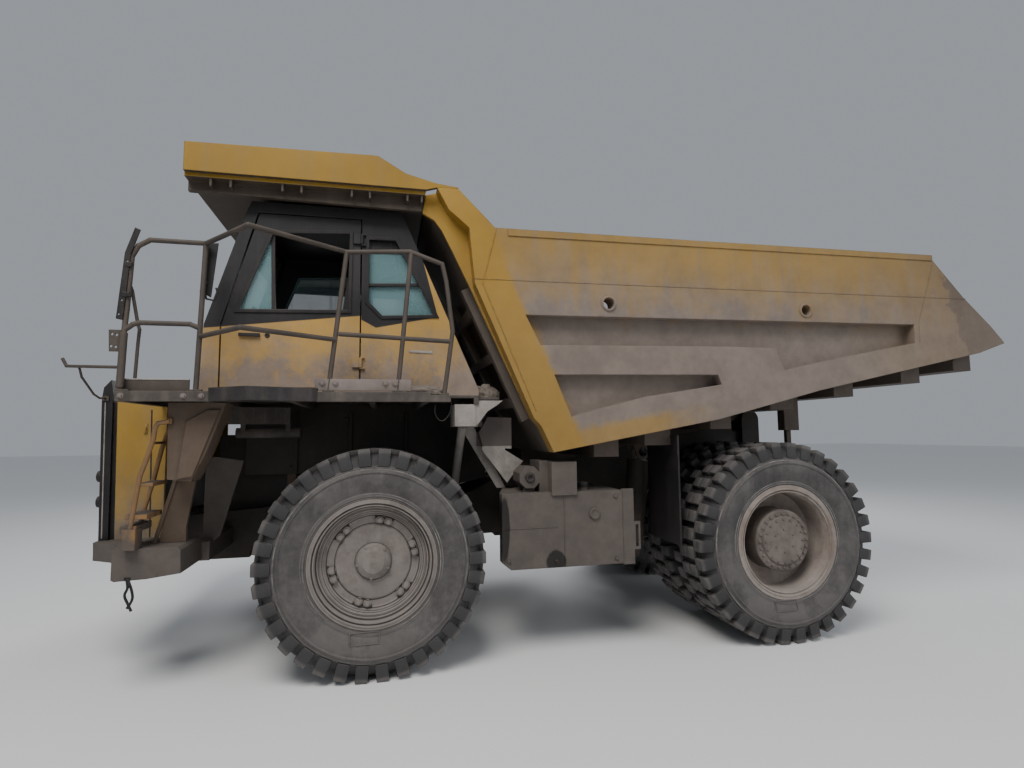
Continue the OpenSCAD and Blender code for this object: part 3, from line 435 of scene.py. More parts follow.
# Painted shade: the canopy below its rail and its downward faces get a dark brown.
def canopyUndersideShade(tree, where):
    v = pieceEdges
    rise = axesOf(tree, put(tree, "ShaderNodeNewGeometry").outputs["Normal"])[2]
    low = rangeOf(tree, axesOf(tree, where)[2], *v["canopy rail"])
    return either(tree, low, rangeOf(tree, rise, *v["canopy facing down"]))


# Painted shade: the deck's outer side, beyond y 2.2, gets a near black.
def deckSideShade(tree, where):
    return rangeOf(tree, axesOf(tree, where)[1], *pieceEdges["deck side"])


# Masks of the bed's sides: the cleaner front column and lower lip, the dark tail, and the inner walls.

columnValues = {
    "lean": -0.455, "rough": (2.6, 7, 0.66), "rough share": 0.30, "edge": (-0.57, -0.45),
    "lip": (0.678, 2.223, -1.184, 2.546, 0.05, 0.22), "lip ends": (-0.75, 0.10), "lip share": 0.75,
    "share": 0.80,
}
tailValues = {
    "rough": (3.4, 8, 0.7), "rough share": 0.9, "fade": (-2.3, -4.0), "fade share": 0.55,
    "inside": (1.940, 1.930), "inside share": 0.95,
    "splash lean": -0.30, "splash": (-5.02, -5.10), "splash share": 0.92,
}


def columnClean(tree, where):
    v = columnValues
    x, y, z = axesOf(tree, where)
    rough = noiseOf(tree, where, *v["rough"])
    lean = plus(tree, plus(tree, x, times(tree, z, v["lean"])), times(tree, rough, v["rough share"]))
    lip = minus(tree, 1.0, lineMask(tree, where, *v["lip"]))
    lip = times(tree, lip, rangeOf(tree, plus(tree, x, rough), *v["lip ends"]))
    cleaner = either(tree, rangeOf(tree, lean, *v["edge"]), times(tree, lip, v["lip share"]))
    return minus(tree, 1.0, times(tree, cleaner, v["share"]))


def tailEnd(tree, where):
    v = tailValues
    x, y, z = axesOf(tree, where)
    along = plus(tree, x, times(tree, noiseOf(tree, where, *v["rough"]), v["rough share"]))
    fade = times(tree, rangeOf(tree, along, *v["fade"]), v["fade share"])
    inside = times(tree, rangeOf(tree, math2(tree, "ABSOLUTE", y), *v["inside"]), v["inside share"])
    splash = rangeOf(tree, plus(tree, along, times(tree, z, v["splash lean"])), *v["splash"])
    return either(tree, either(tree, fade, inside), times(tree, splash, v["splash share"]))


# Materials, one for each finish.

# The canopy's dark second colour is painted shade on its undersides.
matCanopy = coated("canopy yellow", (0.285, 0.160, 0.010), film=0.07, onTop=0.75, below=3.6, above=4.4,
                   streaks=0.12, wear=0.012, second=(0.060, 0.044, 0.032), split=canopyUndersideShade, gloss=0.6)
matHood = coated("hood yellow", yellow, film=0.16, onTop=0.6, below=1.1, above=2.6, streaks=0.18)
matBody = coated("body yellow", (0.335, 0.190, 0.020), film=0.34, onTop=0.8, below=3.35, above=4.75,
                 streaks=0.24, even=0.62, wear=0.014, dusty=(0.216, 0.176, 0.150),
                 second=(0.065, 0.046, 0.034), split=tailEnd, spare=0.52, cleanAndShade=columnClean, gloss=0.55)
matTray = coated("bed steel", (0.10, 0.080, 0.066), film=0.7, onTop=0.8, below=2.0, above=3.6, wear=0.014,
                 dusty=brownDust, gloss=0.5)
matCab = coated("cab yellow and black", (0.54, 0.31, 0.05), film=0.30, onTop=0.5, below=2.95, above=3.85,
                streaks=0.14, wear=0.006, dusty=(0.29, 0.225, 0.180), second=(0.014, 0.0145, 0.017),
                split=cabBlackAndHandleShade, spare=0.86)
# The frame's very dark paint and dust are partly painted shade, for the shade under the truck.
matFrame = coated("muddy frame and painted shade", (0.024, 0.021, 0.019), film=0.6, onTop=0.5, below=1.0, above=2.2,
                  dusty=darkDustAndShade)
matMud = coated("dried mud", (0.080, 0.064, 0.052), film=0.9, onTop=0.5, below=1.0, above=2.6,
                dusty=(0.110, 0.093, 0.082), bump=1.5, second=(0.012, 0.010, 0.009), split=tankStain,
                spare=0.92)
matLeg = coated("rusty brown leg", (0.105, 0.066, 0.042), film=0.55, onTop=0.4, below=1.0, above=2.0,
                streaks=0.6, dusty=(0.118, 0.088, 0.066), bump=0.6)
matValve = coated("pale and brown boxes", (0.20, 0.175, 0.155), film=0.95, onTop=0.7, below=1.8, above=2.4,
                  dusty=(0.38, 0.345, 0.315), bump=0.8, second=(0.085, 0.066, 0.060), split=lowerBox,
                  spare=0.88)
matPale = coated("pale dusty box", (0.20, 0.175, 0.155), film=0.95, onTop=0.7, below=1.8, above=2.4,
                 dusty=(0.38, 0.345, 0.315), bump=0.5)
matBlack = coated("black paint", (0.012, 0.012, 0.014), film=0.12, onTop=0.4, below=0.4, above=0.9,
                  streaks=0.1, dusty=brownDust)
matRail = coated("brown rail", (0.055, 0.045, 0.038), film=0.5, onTop=0.5, below=0.5, above=1.0,
                 dusty=brownDust)
matRung = coated("orange ladder", (0.30, 0.155, 0.05), film=0.40, onTop=0.9, below=1.65, above=2.1,
                 dusty=brownDust)
# The rim's near black groove rings are painted shade.
matRim = coated("dusty rim and groove shade", (0.120, 0.098, 0.082), film=0.9, onTop=0.4, below=0.2, above=2.0,
                dusty=(0.232, 0.205, 0.188), gloss=0.55, second=(0.018, 0.015, 0.013), split=rimGrooveShade,
                spare=0.85)
# The rear rims' pale dust is partly painted light, for the sky light inside their recessed barrels.
matRearRim = coated("brown rim and painted sky light", (0.180, 0.130, 0.100), film=0.75, onTop=0.4, below=0.2, above=1.4,
                    dusty=(0.330, 0.285, 0.255), gloss=0.55, second=(0.062, 0.048, 0.040), split=hubArea,
                    spare=0.55)
# The dust taken off between the tyre lugs is painted shade.
matRubber = coated("tyre rubber", (0.036, 0.035, 0.036), film=0.68, onTop=0.35, below=0.1, above=1.4,
                   streaks=0.2, wear=0.006, bare=(0.150, 0.140, 0.136), dusty=(0.128, 0.118, 0.113),
                   gloss=0.72, bump=0.6, second=(0.30, 0.275, 0.255), split=tyreScuffs, cleanAndShade=treadGapShade)
# The deck's near black outer side is painted shade and its dark base is partly painted shade; the dust on top
# is dust.
matDeck = coated("dusty deck and painted shade", (0.034, 0.029, 0.025), film=0.45, onTop=0.95, below=1.0, above=1.6,
                 dusty=(0.150, 0.126, 0.110), second=(0.012, 0.012, 0.014), split=deckSideShade, spare=0.5)
matBoard = coated("dusty board", (0.16, 0.125, 0.10), film=0.8, onTop=0.8, below=2.0, above=2.9,
                  dusty=(0.215, 0.180, 0.165))
matSteel = coated("ground steel", (0.32, 0.31, 0.30), film=0.2, onTop=0.2, below=0.3, above=1.4,
                  dusty=brownDust, gloss=0.3)
matGlass = glazed("cab glass", (0.22, 0.40, 0.42), 0.34, 0.10)
matSmoke = coated("smoked band", (0.010, 0.012, 0.014), film=0.10, onTop=0.2, below=0.4, above=0.9, gloss=0.2)
matLamp = glazed("lamp glass", (0.62, 0.62, 0.56), 0.55, 0.25)
matDirt = coated("heaped dirt", (0.12, 0.098, 0.080), film=0.8, onTop=0.6, below=1.0, above=2.0,
                 dusty=(0.20, 0.17, 0.145), bump=1.4)

paintOn(["hood"], matHood)
paintOn(["canopy"], matCanopy)
paintOn(["ladders"], matRung)
paintOn(["bed_sides"], matBody)
paintOn(["bed_floor", "bed_front", "rock_ejectors"], matTray)
paintOn(["cab_shell", "cab_door"], matCab)
paintOn(["main_frame", "engine", "drive_line", "front_suspension", "rear_axle", "rear_suspension",
         "knuckle_left", "knuckle_right", "tie_rod", "hoist_barrel_left", "hoist_barrel_right"], matFrame)
paintOn(["bumper", "fuel_tank", "oil_tank"], matMud)
paintOn(["platform_legs"], matLeg)
paintOn(["valve_box"], matValve)
paintOn(["hoist_stage_left", "hoist_stage_right", "hoist_rod_left", "hoist_rod_right"], matSteel)
paintOn(["mirrors", "mud_flaps", "seat", "dashboard", "grille"], matBlack)
paintOn(["front_rim_left", "front_rim_right"], matRim)
paintOn(["rear_rims_left", "rear_rims_right"], matRearRim)
paintOn(["front_tyre_left", "front_tyre_right", "rear_tyres_left", "rear_tyres_right"], matRubber)
paintOn(["platform"], matDeck)
paintOn(["handrail_left", "handrail_right"], matRail)
paintOn(["cab_glass", "door_glass"], matGlass)
paintOn(["lamps"], matLamp)
print("materials done")


# Mesh tools. Those that take places measure x from the front axle.

def moved(bm, x=0.0, y=0.0, z=0.0):
    bmesh.ops.translate(bm, verts=bm.verts, vec=(x, y, z))
    return bm


def turned(bm, angle, axis):
    bmesh.ops.rotate(bm, verts=bm.verts, cent=(0, 0, 0), matrix=Matrix.Rotation(angle, 3, axis))
    return bm


def bevelled(bm, offset):
    bmesh.ops.bevel(bm, geom=bm.edges[:], offset=offset, segments=2, affect="EDGES", profile=0.5, material=-1)
    return bm


def everything(bm):
    return bm.verts[:] + bm.edges[:] + bm.faces[:]


def takeIn(bm, part):
    mesh = bpy.data.meshes.new("part")
    part.to_mesh(mesh)
    part.free()
    bm.from_mesh(mesh)
    bpy.data.meshes.remove(mesh)


def repeatRound(bm, count):
    bmesh.ops.spin(bm, geom=everything(bm), cent=(0, 0, 0), axis=(0, 1, 0),
                   angle=wholeTurn * (count - 1) / count, steps=count - 1, use_duplicate=True)


def twinned(bm):
    bmesh.ops.mirror(bm, geom=everything(bm), matrix=Matrix.Identity(4), merge_dist=-1, axis="Y")
    return bm


def joined(parts, twin=False):
    bm = bmesh.new()
    for part in parts:
        takeIn(bm, part)
    return twinned(bm) if twin else bm


def turnedShape(outline, steps):  # outline of (radius, y), spun about the y axis
    bm = bmesh.new()
    verts = [bm.verts.new((0, y, r)) for r, y in outline]
    for a, b in zip(verts, verts[1:]):
        bm.edges.new((a, b))
    bmesh.ops.spin(bm, geom=everything(bm), cent=(0, 0, 0), axis=(0, 1, 0), angle=wholeTurn, steps=steps,
                   use_merge=True)
    bmesh.ops.remove_doubles(bm, verts=bm.verts, dist=0.0002)
    return bm


def ringAt(x, y, z, outline, steps=48):
    return moved(turnedShape(outline, steps), axleX + x, y, z)


def eased(path, steps=5):  # a smooth route through the places of a path
    points = [Vector(place) for place in path]
    ends = points[:1] + points + points[-1:]
    curve = []
    for before, a, b, after in zip(ends, ends[1:], ends[2:], ends[3:]):
        curve += interpolate_bezier(a, a + (b - before) / 6, b - (after - a) / 6, b, steps + 1)[:-1]
    return curve + points[-1:]


def swept(path, width, depth, across, sides=4, closed=False):
    points = [Vector((axleX + x, y, z)) for x, y, z in path]
    across = Vector(across).normalized()
    frames = []
    for i, point in enumerate(points):
        steps = []
        if i or closed:
            steps.append((point - points[i - 1]).normalized())
        if i < len(points) - 1 or closed:
            steps.append((points[(i + 1) % len(points)] - point).normalized())
        along = sum(steps, Vector()).normalized()
        side = across.cross(along).normalized()
        mitre = max(0.3, along.dot(steps[0]))  # keeps the strip's width through a corner
        turn = Matrix((side * width / mitre, along.cross(side) * depth, along))
        frames.append(Matrix.Translation(point) @ turn.transposed().to_4x4())
    bm = bmesh.new()
    bmesh.ops.create_circle(bm, segments=sides, radius=0.5 ** 0.5 if sides == 4 else 0.5)
    turned(bm, math.pi / sides, "Z")
    bmesh.ops.transform(bm, matrix=frames[0], verts=bm.verts)
    start = edges = bm.edges[:]
    for last, now in zip(frames, frames[1:] + frames[:1] * closed):
        new = bmesh.ops.extrude_edge_only(bm, edges=edges)["geom"]
        edges = [g for g in new if isinstance(g, bmesh.types.BMEdge) and g.is_boundary]
        verts = [g for g in new if isinstance(g, bmesh.types.BMVert)]
        bmesh.ops.transform(bm, matrix=now @ last.inverted(), verts=verts)
    if closed:
        bmesh.ops.remove_doubles(bm, verts=bm.verts, dist=0.0001)
    else:
        bmesh.ops.holes_fill(bm, edges=start + edges, sides=sides)
    return bm


def slab(outline, y0, y1, bevel=0.0):  # an outline of (x, z) between two y
    bm = bmesh.new()
    verts = [bm.verts.new((axleX + x, y0, z)) for x, z in outline]
    face = bmesh.ops.contextual_create(bm, geom=verts)["faces"]
    new = bmesh.ops.extrude_face_region(bm, geom=face)["geom"]
    bmesh.ops.translate(bm, verts=[g for g in new if isinstance(g, bmesh.types.BMVert)], vec=(0, y1 - y0, 0))
    bmesh.ops.recalc_face_normals(bm, faces=bm.faces)
    return bevelled(bm, bevel) if bevel else bm


def plate(low, high, bevel):
    low, high = Vector(low), Vector(high)
    bm = bmesh.new()
    bmesh.ops.create_cube(bm, size=1, matrix=Matrix.Translation((low + high) / 2 + Vector((axleX, 0, 0))) @
                          Matrix.Diagonal((*(high - low), 1)))
    return bevelled(bm, bevel)


boltShape = {"taper": 0.94, "sections": [(24, 1.5, 0.0, 0.3), (6, 1.0, 0.3, 1.0)]}  # sides, width, low, high


def bolts(places, head, height, out=outward):
    bm = bmesh.new()
    aim = Vector((0, 0, 1)).rotation_difference(Vector(out)).to_matrix().to_4x4()
    for x, y, z in places:
        lay = Matrix.Translation((axleX + x, y, z)) @ aim
        for sides, width, low, high in boltShape["sections"]:
            middle = Matrix.Translation((0, 0, height * (low + high) / 2))
            bmesh.ops.create_cone(bm, cap_ends=True, segments=sides, radius1=head * width,
                                  radius2=head * width * boltShape["taper"], depth=height * (high - low),
                                  matrix=lay @ middle)
    return bm


def atSide(outline, y):
    return [(x, y, z) for x, z in outline]


def offset(place, step):
    return tuple(a + b for a, b in zip(place, step))


def inScene(name, data):
    obj = bpy.data.objects.new(name, data)
    bpy.context.scene.collection.objects.link(obj)
    return obj


def finished(bm, name, mat, body, smooth=35):
    bmesh.ops.recalc_face_normals(bm, faces=bm.faces)
    mesh = bpy.data.meshes.new(name)
    bm.to_mesh(mesh)
    bm.free()
    mesh.materials.append(mat)
    mesh.polygons.foreach_set("use_smooth", [True] * len(mesh.polygons))
    mesh.set_sharp_from_angle(angle=math.radians(smooth))
    obj = inScene(name, mesh)
    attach(obj, body)
    return obj


# Tyres: a turned carcass, four rows of lugs with the outer ones half a pitch on, and a raised frame on
# each wall.

tyreValues = {
    "steps": 136, "lugs": 34, "bevel": 0.009,
    "blank panel": [(-0.060, 0.2800, -0.600), (0.200, 0.2875, -0.600), (0.200, 0.3120, -0.700),
                    (-0.060, 0.3050, -0.700)],
    "panel edge": 0.012,
    "wall": [(0.566, 0.2535), (0.584, 0.262), (0.604, 0.281), (0.632, 0.288), (0.650, 0.283),
             (0.700, 0.305), (0.760, 0.3215), (0.806, 0.3195), (0.822, 0.3165), (0.828, 0.3225),
             (0.841, 0.3225), (0.847, 0.3120), (0.872, 0.3000), (0.880, 0.3030), (0.886, 0.2900),
             (0.930, 0.2740), (0.965, 0.2560), (0.989, 0.2300), (0.997, 0.1900), (0.999, 0.0)],
    "shoulder": {"corners": {(0, 0): (0.158, 0.975), (0, 1): (0.158, 1.055),
                             (1, 0): (0.3005, 0.892), (1, 1): (0.2860, 1.055)}, "top": 0.58, "foot": 0.70},
    "middle": {"corners": {(0, 0): (0.012, 0.975), (0, 1): (0.012, 1.055),
                           (1, 0): (0.138, 0.975), (1, 1): (0.138, 1.055)}, "top": 0.60, "foot": 0.72},
}
wheels = {
    "left": {"front": (axleX, 1.788), "rear": (rearX, 1.901, 1.141), "flip": False},
    "right": {"front": (axleX, -1.788), "rear": (rearX, -1.901, -1.141), "flip": True},
}


def lugRow(row, shift):
    v = tyreValues
    pitch = wholeTurn / v["lugs"]
    bm = bmesh.new()
    for vert in bmesh.ops.create_cube(bm, size=2)["verts"]:
        y, r = row["corners"][(int(vert.co.y > 0), int(vert.co.z > 0))]
        half = math.copysign(row["top" if vert.co.z > 0 else "foot"] * pitch / 2, vert.co.x) + shift * pitch
        vert.co = (r * math.sin(half), y, r * math.cos(half))
    bevelled(bm, v["bevel"])
    repeatRound(bm, v["lugs"])
    return bm


def oneTyre():
    v = tyreValues
    wall = v["wall"]
    panel = swept(v["blank panel"], v["panel edge"], v["panel edge"], outward, closed=True)
    half = joined([lugRow(v["shoulder"], 0.5), lugRow(v["middle"], 0.0), moved(panel, -axleX)], twin=True)
    bm = turnedShape([(r, y) for r, y in wall] + [(r, -y) for r, y in reversed(wall[:-1])], v["steps"])
    takeIn(bm, half)
    return bm


def onWheel(bm, x, y, flip=False):
    return moved(turned(bm, math.pi, "Z") if flip else bm, x, y, axleZ)


for side, w in wheels.items():
    x, outer, inner = w["rear"]
    front = finished(onWheel(oneTyre(), *w["front"]), "tread_front_" + side, matRubber, "wheel_front_" + side)
    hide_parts("front_tyre_" + side)
    pair = joined([onWheel(oneTyre(), x, outer), onWheel(oneTyre(), x, inner)])
    rear = finished(pair, "treads_rear_" + side, matRubber, "wheels_rear_" + side)
    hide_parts("rear_tyres_" + side)
print("tyres done")


# Bolts, clamps and rings of the wheels. A ring of bolts is count, radius, y, head, height and turn.

hubValues = {
    "clamps": {"pairs": 6, "radius": 0.382, "y": 0.160, "turn": -0.245, "apart": 0.0798,
               "centre": (0, 0.154, 0.384), "size": (0.20, 0.022, 0.056), "narrow": 0.55, "bevel": 0.006},
    "clamp bolts": (0.027, 0.034), "cap lugs": (5, 0.146, 0.192, 0.013, 0.020, 0.5),
    "front turned": [[(0.168, 0.148), (0.172, 0.159), (0.330, 0.163), (0.342, 0.158), (0.346, 0.148)],
                     [(0.482, 0.190), (0.481, 0.198), (0.471, 0.191), (0.470, 0.183)],
                     [(0.444, 0.169), (0.443, 0.177), (0.432, 0.170), (0.430, 0.161)]],
    "rear rings": [(24, 0.287, 0.199, 0.014, 0.018), (16, 0.228, 0.217, 0.010, 0.012),
                   (6, 0.120, 0.217, 0.008, 0.008)],
    "lock rings": [[(0.548, 0.276), (0.552, 0.290), (0.566, 0.290), (0.570, 0.276)],
                   [(0.522, 0.270), (0.525, 0.279), (0.536, 0.279), (0.539, 0.270)]],
    "turned steps": 96,
    "bolt": {"sides": 6, "width": 1.0, "taper": 0.94, "depth": 1.0, "middle": 0.5},
    "washer": {"sides": 20, "width": 1.45, "taper": 0.97, "depth": 0.35, "middle": 0.17},
}


def boltRing(count, radius, y, head, height, turn=0.0):
    bm = bmesh.new()
    lay = Matrix.Rotation(-math.pi / 2, 4, "X")
    for v in (hubValues["bolt"], hubValues["washer"]):
        wide = head * v["width"]
        middle = Matrix.Translation((0, y + height * v["middle"], radius))
        bmesh.ops.create_cone(bm, cap_ends=True, segments=v["sides"], radius1=wide, radius2=wide * v["taper"],
                              depth=height * v["depth"], matrix=middle @ lay)
    repeatRound(turned(bm, turn, "Y"), count)
    return bm


def rimClamps():
    v = hubValues["clamps"]
    bm = bmesh.new()
    lay = Matrix.Translation(v["centre"]) @ Matrix.Diagonal((*v["size"], 1))
    bmesh.ops.create_cube(bm, size=1, matrix=lay)
    for vert in bm.verts:
        if vert.co.z < v["radius"]:
            vert.co.x *= v["narrow"]
    repeatRound(turned(bevelled(bm, v["bevel"]), v["turn"], "Y"), v["pairs"])
    return bm


def frontHub():
    v, c = hubValues, hubValues["clamps"]
    half = c["apart"] / 2 / c["radius"]
    parts = [boltRing(c["pairs"], c["radius"], c["y"], *v["clamp bolts"], c["turn"] + turn)
             for turn in (-half, half)]
    parts.append(boltRing(*v["cap lugs"]))
    return parts + [turnedShape(outline, v["turned steps"]) for outline in v["front turned"]]


def rearHub():
    return [boltRing(*ring) for ring in hubValues["rear rings"]]


def lockRings():
    return [turnedShape(outline, hubValues["turned steps"]) for outline in hubValues["lock rings"]]


for side, w in wheels.items():
    front, rear, flip = w["front"], w["rear"][:2], w["flip"]
    finished(onWheel(rimClamps(), *front, flip), "rim_clamps_" + side, matFrame,
             "wheel_front_" + side)
    finished(onWheel(joined(frontHub() + lockRings()), *front, flip), "front_hub_bolts_" + side, matRim,
             "wheel_front_" + side)
    finished(onWheel(joined(rearHub() + lockRings()), *rear, flip), "rear_hub_bolts_" + side, matRearRim,
             "wheels_rear_" + side)
print("hubs done")


# Cab: window rubbers, smoked band, bar behind the rear side window, blank plate and wiper.

cabTrim = {
    "face": 1.783, "far face": 0.017, "rubber": (0.034, 0.016),
    "side window": [(0.094, 4.221), (-0.192, 4.227), (-0.600, 3.440), (-0.051, 3.413), (0.094, 3.560)],
    "band": [(0.094, 4.225), (-0.190, 4.231), (-0.262, 4.100), (-0.215, 4.088), (0.070, 4.088),
             (0.094, 4.104)],
    "band y": (1.731, 1.738),
    "bar": [(0.094, 1.748, 3.745), (-0.440, 1.748, 3.770)], "bar width": 0.030,
    "blank plate": [(-0.324, 3.086), (-0.555, 3.080), (-0.557, 3.054), (-0.326, 3.060)],
    "plate y": (1.779, 1.787), "plate bevel": 0.002,
    "windscreen": [(1.571, 0.150, 3.335), (1.571, 1.650, 3.335), (1.255, 1.650, 4.363),
                   (1.255, 0.150, 4.363)],
    "wiper arm": [(1.604, 1.020, 3.300), (1.560, 0.960, 3.452), (1.462, 0.800, 3.770)],
    "arm size": (0.018, 0.010), "arm nut": (0.016, 0.030),
    "wiper blade": [(1.545, 0.660, 3.490), (1.372, 0.900, 4.055)], "blade size": (0.010, 0.030),
    "front normal": (0.9556, 0.0, 0.2947),
}


def cabPieces():
    v = cabTrim
    rubber, ahead = v["rubber"], v["front normal"]
    black = [
        swept(atSide(v["side window"], v["face"]), *rubber, outward, closed=True),
        swept(atSide(v["side window"], v["far face"]), *rubber, outward, closed=True),
        swept(v["bar"], v["bar width"], v["bar width"], outward),
        swept(v["windscreen"], *rubber, ahead, closed=True),
        swept(v["wiper arm"], *v["arm size"], ahead),
        swept(v["wiper blade"], *v["blade size"], ahead),
        bolts(v["wiper arm"][:1], *v["arm nut"], ahead),
        swept(atSide(doorTrim["window"], v["far face"]), *rubber, outward, closed=True),
    ]
    finished(joined(black), "cab_window_trim", matBlack, "chassis")
    finished(slab(v["band"], *v["band y"]), "cab_smoked_band", matSmoke, "chassis")
    finished(slab(v["blank plate"], *v["plate y"], v["plate bevel"]), "cab_blank_plate", matPale, "chassis")


# Door: window rubber, bar between its two panes, and the lock under the handle.

doorTrim = {
    "window": [(0.997, 4.229), (0.251, 4.269), (0.262, 3.459), (1.296, 3.431)],
    "divider": [(0.995, 1.742, 4.245), (0.973, 1.742, 3.440)], "divider size": (0.034, 0.040),
    "lock": (1.020, 1.780, 3.200),
    "lock outline": [(0.0, 0.006), (0.012, 0.006), (0.013, 0.010), (0.020, 0.010), (0.024, 0.000)],
    "lock steps": 32,
}


def doorPieces():
    v = doorTrim
    parts = [
        swept(atSide(v["window"], cabTrim["face"]), *cabTrim["rubber"], outward, closed=True),
        swept(v["divider"], *v["divider size"], outward),
        ringAt(*v["lock"], v["lock outline"], v["lock steps"]),
    ]
    finished(joined(parts), "door_window_trim", matBlack, "door")


# Bed: weld beads, bar under the top edge and rims of the ports.

bedTrim = {
    "side": 2.100,
    "seams": [[(-0.946, 3.771), (-7.022, 3.822)], [(-6.560, 4.220), (-6.300, 3.500), (-6.300, 3.275)],
              [(-1.170, 4.290), (-1.030, 3.720), (-1.560, 2.460)]],
    "seam size": (0.014, 0.010),
    "top bar": [(-1.290, 4.262), (-6.560, 4.306)], "bar size": (0.070, 0.012), "bar out": 0.004,
    "ports": [(-2.357, 3.576), (-4.739, 3.592)],
    "port rim": [(0.0598, -0.002), (0.0598, 0.014), (0.064, 0.017), (0.078, 0.015), (0.084, 0.000)],
}


def bedPieces():
    v = bedTrim
    y = v["side"]
    parts = [swept(atSide(seam, y), *v["seam size"], outward, sides=6) for seam in v["seams"]]
    parts.append(swept(atSide(v["top bar"], y + v["bar out"]), *v["bar size"], outward))
    parts += [ringAt(x, y, z, v["port rim"]) for x, z in v["ports"]]
    finished(joined(parts, twin=True), "bed_side_trim", matBody, "bed")


# Hood and guard: gap line of the side panel, light strip on the guard, latches and lamp rims.

hoodTrim = {
    "gap": [(2.214, 1.150, 2.510), (2.183, 1.150, 1.242)], "gap size": (0.012, 0.006),
    "strip": [(2.607, 1.150, 1.250), (2.634, 1.150, 2.590)], "strip size": (0.012, 0.008),
    "latches": [(2.260, 1.150, 2.320), (2.240, 1.150, 1.450)], "latch bevel": 0.003,
    "latch boxes": [((-0.018, -0.002, -0.050), (0.018, 0.010, 0.050)),
                    ((-0.007, 0.008, -0.040), (0.007, 0.024, 0.022))],
    "lamps": [(2.6465, 1.085, 1.600), (2.6524, 1.085, 1.850)],
    "lamp rim": [(0.0455, 0.000), (0.0455, 0.034), (0.049, 0.038), (0.055, 0.034), (0.057, 0.000)],
    "lamp steps": 40,
}


def lampRim(x, y, z):
    v = hoodTrim
    return moved(turned(turnedShape(v["lamp rim"], v["lamp steps"]), -math.pi / 2, "Z"), axleX + x, y, z)


def hoodPieces():
    v = hoodTrim
    gap = twinned(swept(v["gap"], *v["gap size"], outward))
    strip = twinned(swept(v["strip"], *v["strip size"], outward, sides=6))
    finished(gap, "hood_gap_strip", matBlack, "chassis")
    finished(strip, "guard_light_strip", matPale, "chassis")
    latches = [plate(offset(place, low), offset(place, high), v["latch bevel"])
               for place in v["latches"] for low, high in v["latch boxes"]]
    rims = [lampRim(*place) for place in v["lamps"]]
    finished(joined(rims, twin=True), "lamp_rims", matBlack, "chassis")
    finished(joined(latches, twin=True), "hood_latches", matHood, "chassis")


# Deck: board and flange bolts under the rear rail panel, light edge of the front board, and heaped dirt.
# A heap is x, y, z, and its half length, width and height.

deckTrim = {
    "board": ((-0.330, 2.186, 2.640), (0.530, 2.196, 2.748)), "bevel": 0.003,
    "board bolts": [(0.462, 2.196, 2.708), (0.349, 2.196, 2.708), (-0.094, 2.196, 2.708),
                    (-0.184, 2.196, 2.708)],
    "board bolt": (0.020, 0.020), "side bolt": (0.018, 0.018),
    "side bolts": [(2.078, 2.200, 2.586), (1.599, 2.200, 2.586), (1.458, 2.200, 2.586),
                   (1.065, 2.200, 2.586)],
    "front edge": [(2.106, 2.128, 2.734), (1.575, 2.128, 2.734)], "edge size": (0.010, 0.014),
    "heaps": [(-1.140, 1.590, 2.606, 0.140, 0.140, 0.150), (-0.420, 1.960, 2.628, 0.260, 0.110, 0.085)],
    "lumps": {"height": 0.22, "scale": 2.2, "spread": 9, "fractal": (0.8, 2.1, 5)}, "smooth": 60,
}


def heap(x, y, z, long, wide, tall):
    v = deckTrim["lumps"]
    bm = bmesh.new()
    bmesh.ops.create_icosphere(bm, subdivisions=5, radius=1)
    for vert in bm.verts:
        where = vert.co * v["scale"] + Vector((x * v["spread"], y, z))
        co = vert.co * (1 + v["height"] * noise.fractal(where, *v["fractal"]))
        vert.co = (axleX + x + co.x * long, y + co.y * wide, z + co.z * tall)
    cut = bmesh.ops.bisect_plane(bm, geom=everything(bm), plane_co=(0, 0, z), plane_no=(0, 0, 1),
                                 clear_inner=True)
    rim = [g for g in cut["geom_cut"] if isinstance(g, bmesh.types.BMEdge)]
    bmesh.ops.holes_fill(bm, edges=rim, sides=0)
    return bm


def deckPieces():
    v = deckTrim
    board = [plate(*v["board"], v["bevel"]), bolts(v["board bolts"], *v["board bolt"]),
             bolts(v["side bolts"], *v["side bolt"])]
    edge = twinned(swept(v["front edge"], *v["edge size"], outward))
    heaps = [heap(*place) for place in v["heaps"]]
    finished(joined(board, twin=True), "deck_board_and_bolts", matBoard, "chassis")
    finished(edge, "deck_board_edge", matPale, "chassis")
    finished(joined(heaps), "heaped_dirt", matDirt, "chassis", v["smooth"])


# Hoses: two ends that hang from the bumper's end box, and a thin loop under the deck's rear post.

hoseTrim = {
    "ends": [[(2.040, 2.004, 1.030), (2.030, 2.006, 0.960), (2.050, 2.006, 0.900), (2.024, 2.004, 0.830),
              (1.996, 2.002, 0.765)],
             [(2.034, 1.996, 1.030), (2.000, 1.996, 0.930), (1.994, 1.998, 0.860), (2.030, 2.000, 0.790)]],
    "end width": 0.022, "clip": ((2.010, 1.985, 1.018), (2.064, 2.002, 1.050)), "clip bevel": 0.004,
    "loop": [(-0.565, 2.150, 2.535), (-0.553, 2.152, 2.450), (-0.580, 2.152, 2.385), (-0.622, 2.152, 2.362),
             (-0.668, 2.152, 2.392), (-0.700, 2.150, 2.455), (-0.712, 2.148, 2.535)],
    "loop width": 0.009, "sides": 10, "smooth": 60,
}


def hose(path, width):
    return swept(eased(path), width, width, outward, sides=hoseTrim["sides"])


def hosePieces():
    v = hoseTrim
    parts = [hose(path, v["end width"]) for path in v["ends"]] + [plate(*v["clip"], v["clip bevel"])]
    loop = hose(v["loop"], v["loop width"])
    finished(joined(parts), "bumper_hose", matBlack, "chassis", v["smooth"])
    finished(loop, "deck_hose", matBlack, "chassis", v["smooth"])


# Splash panels beside the engine, under the deck. A fold is x, low end and high end, with a bolt at each.

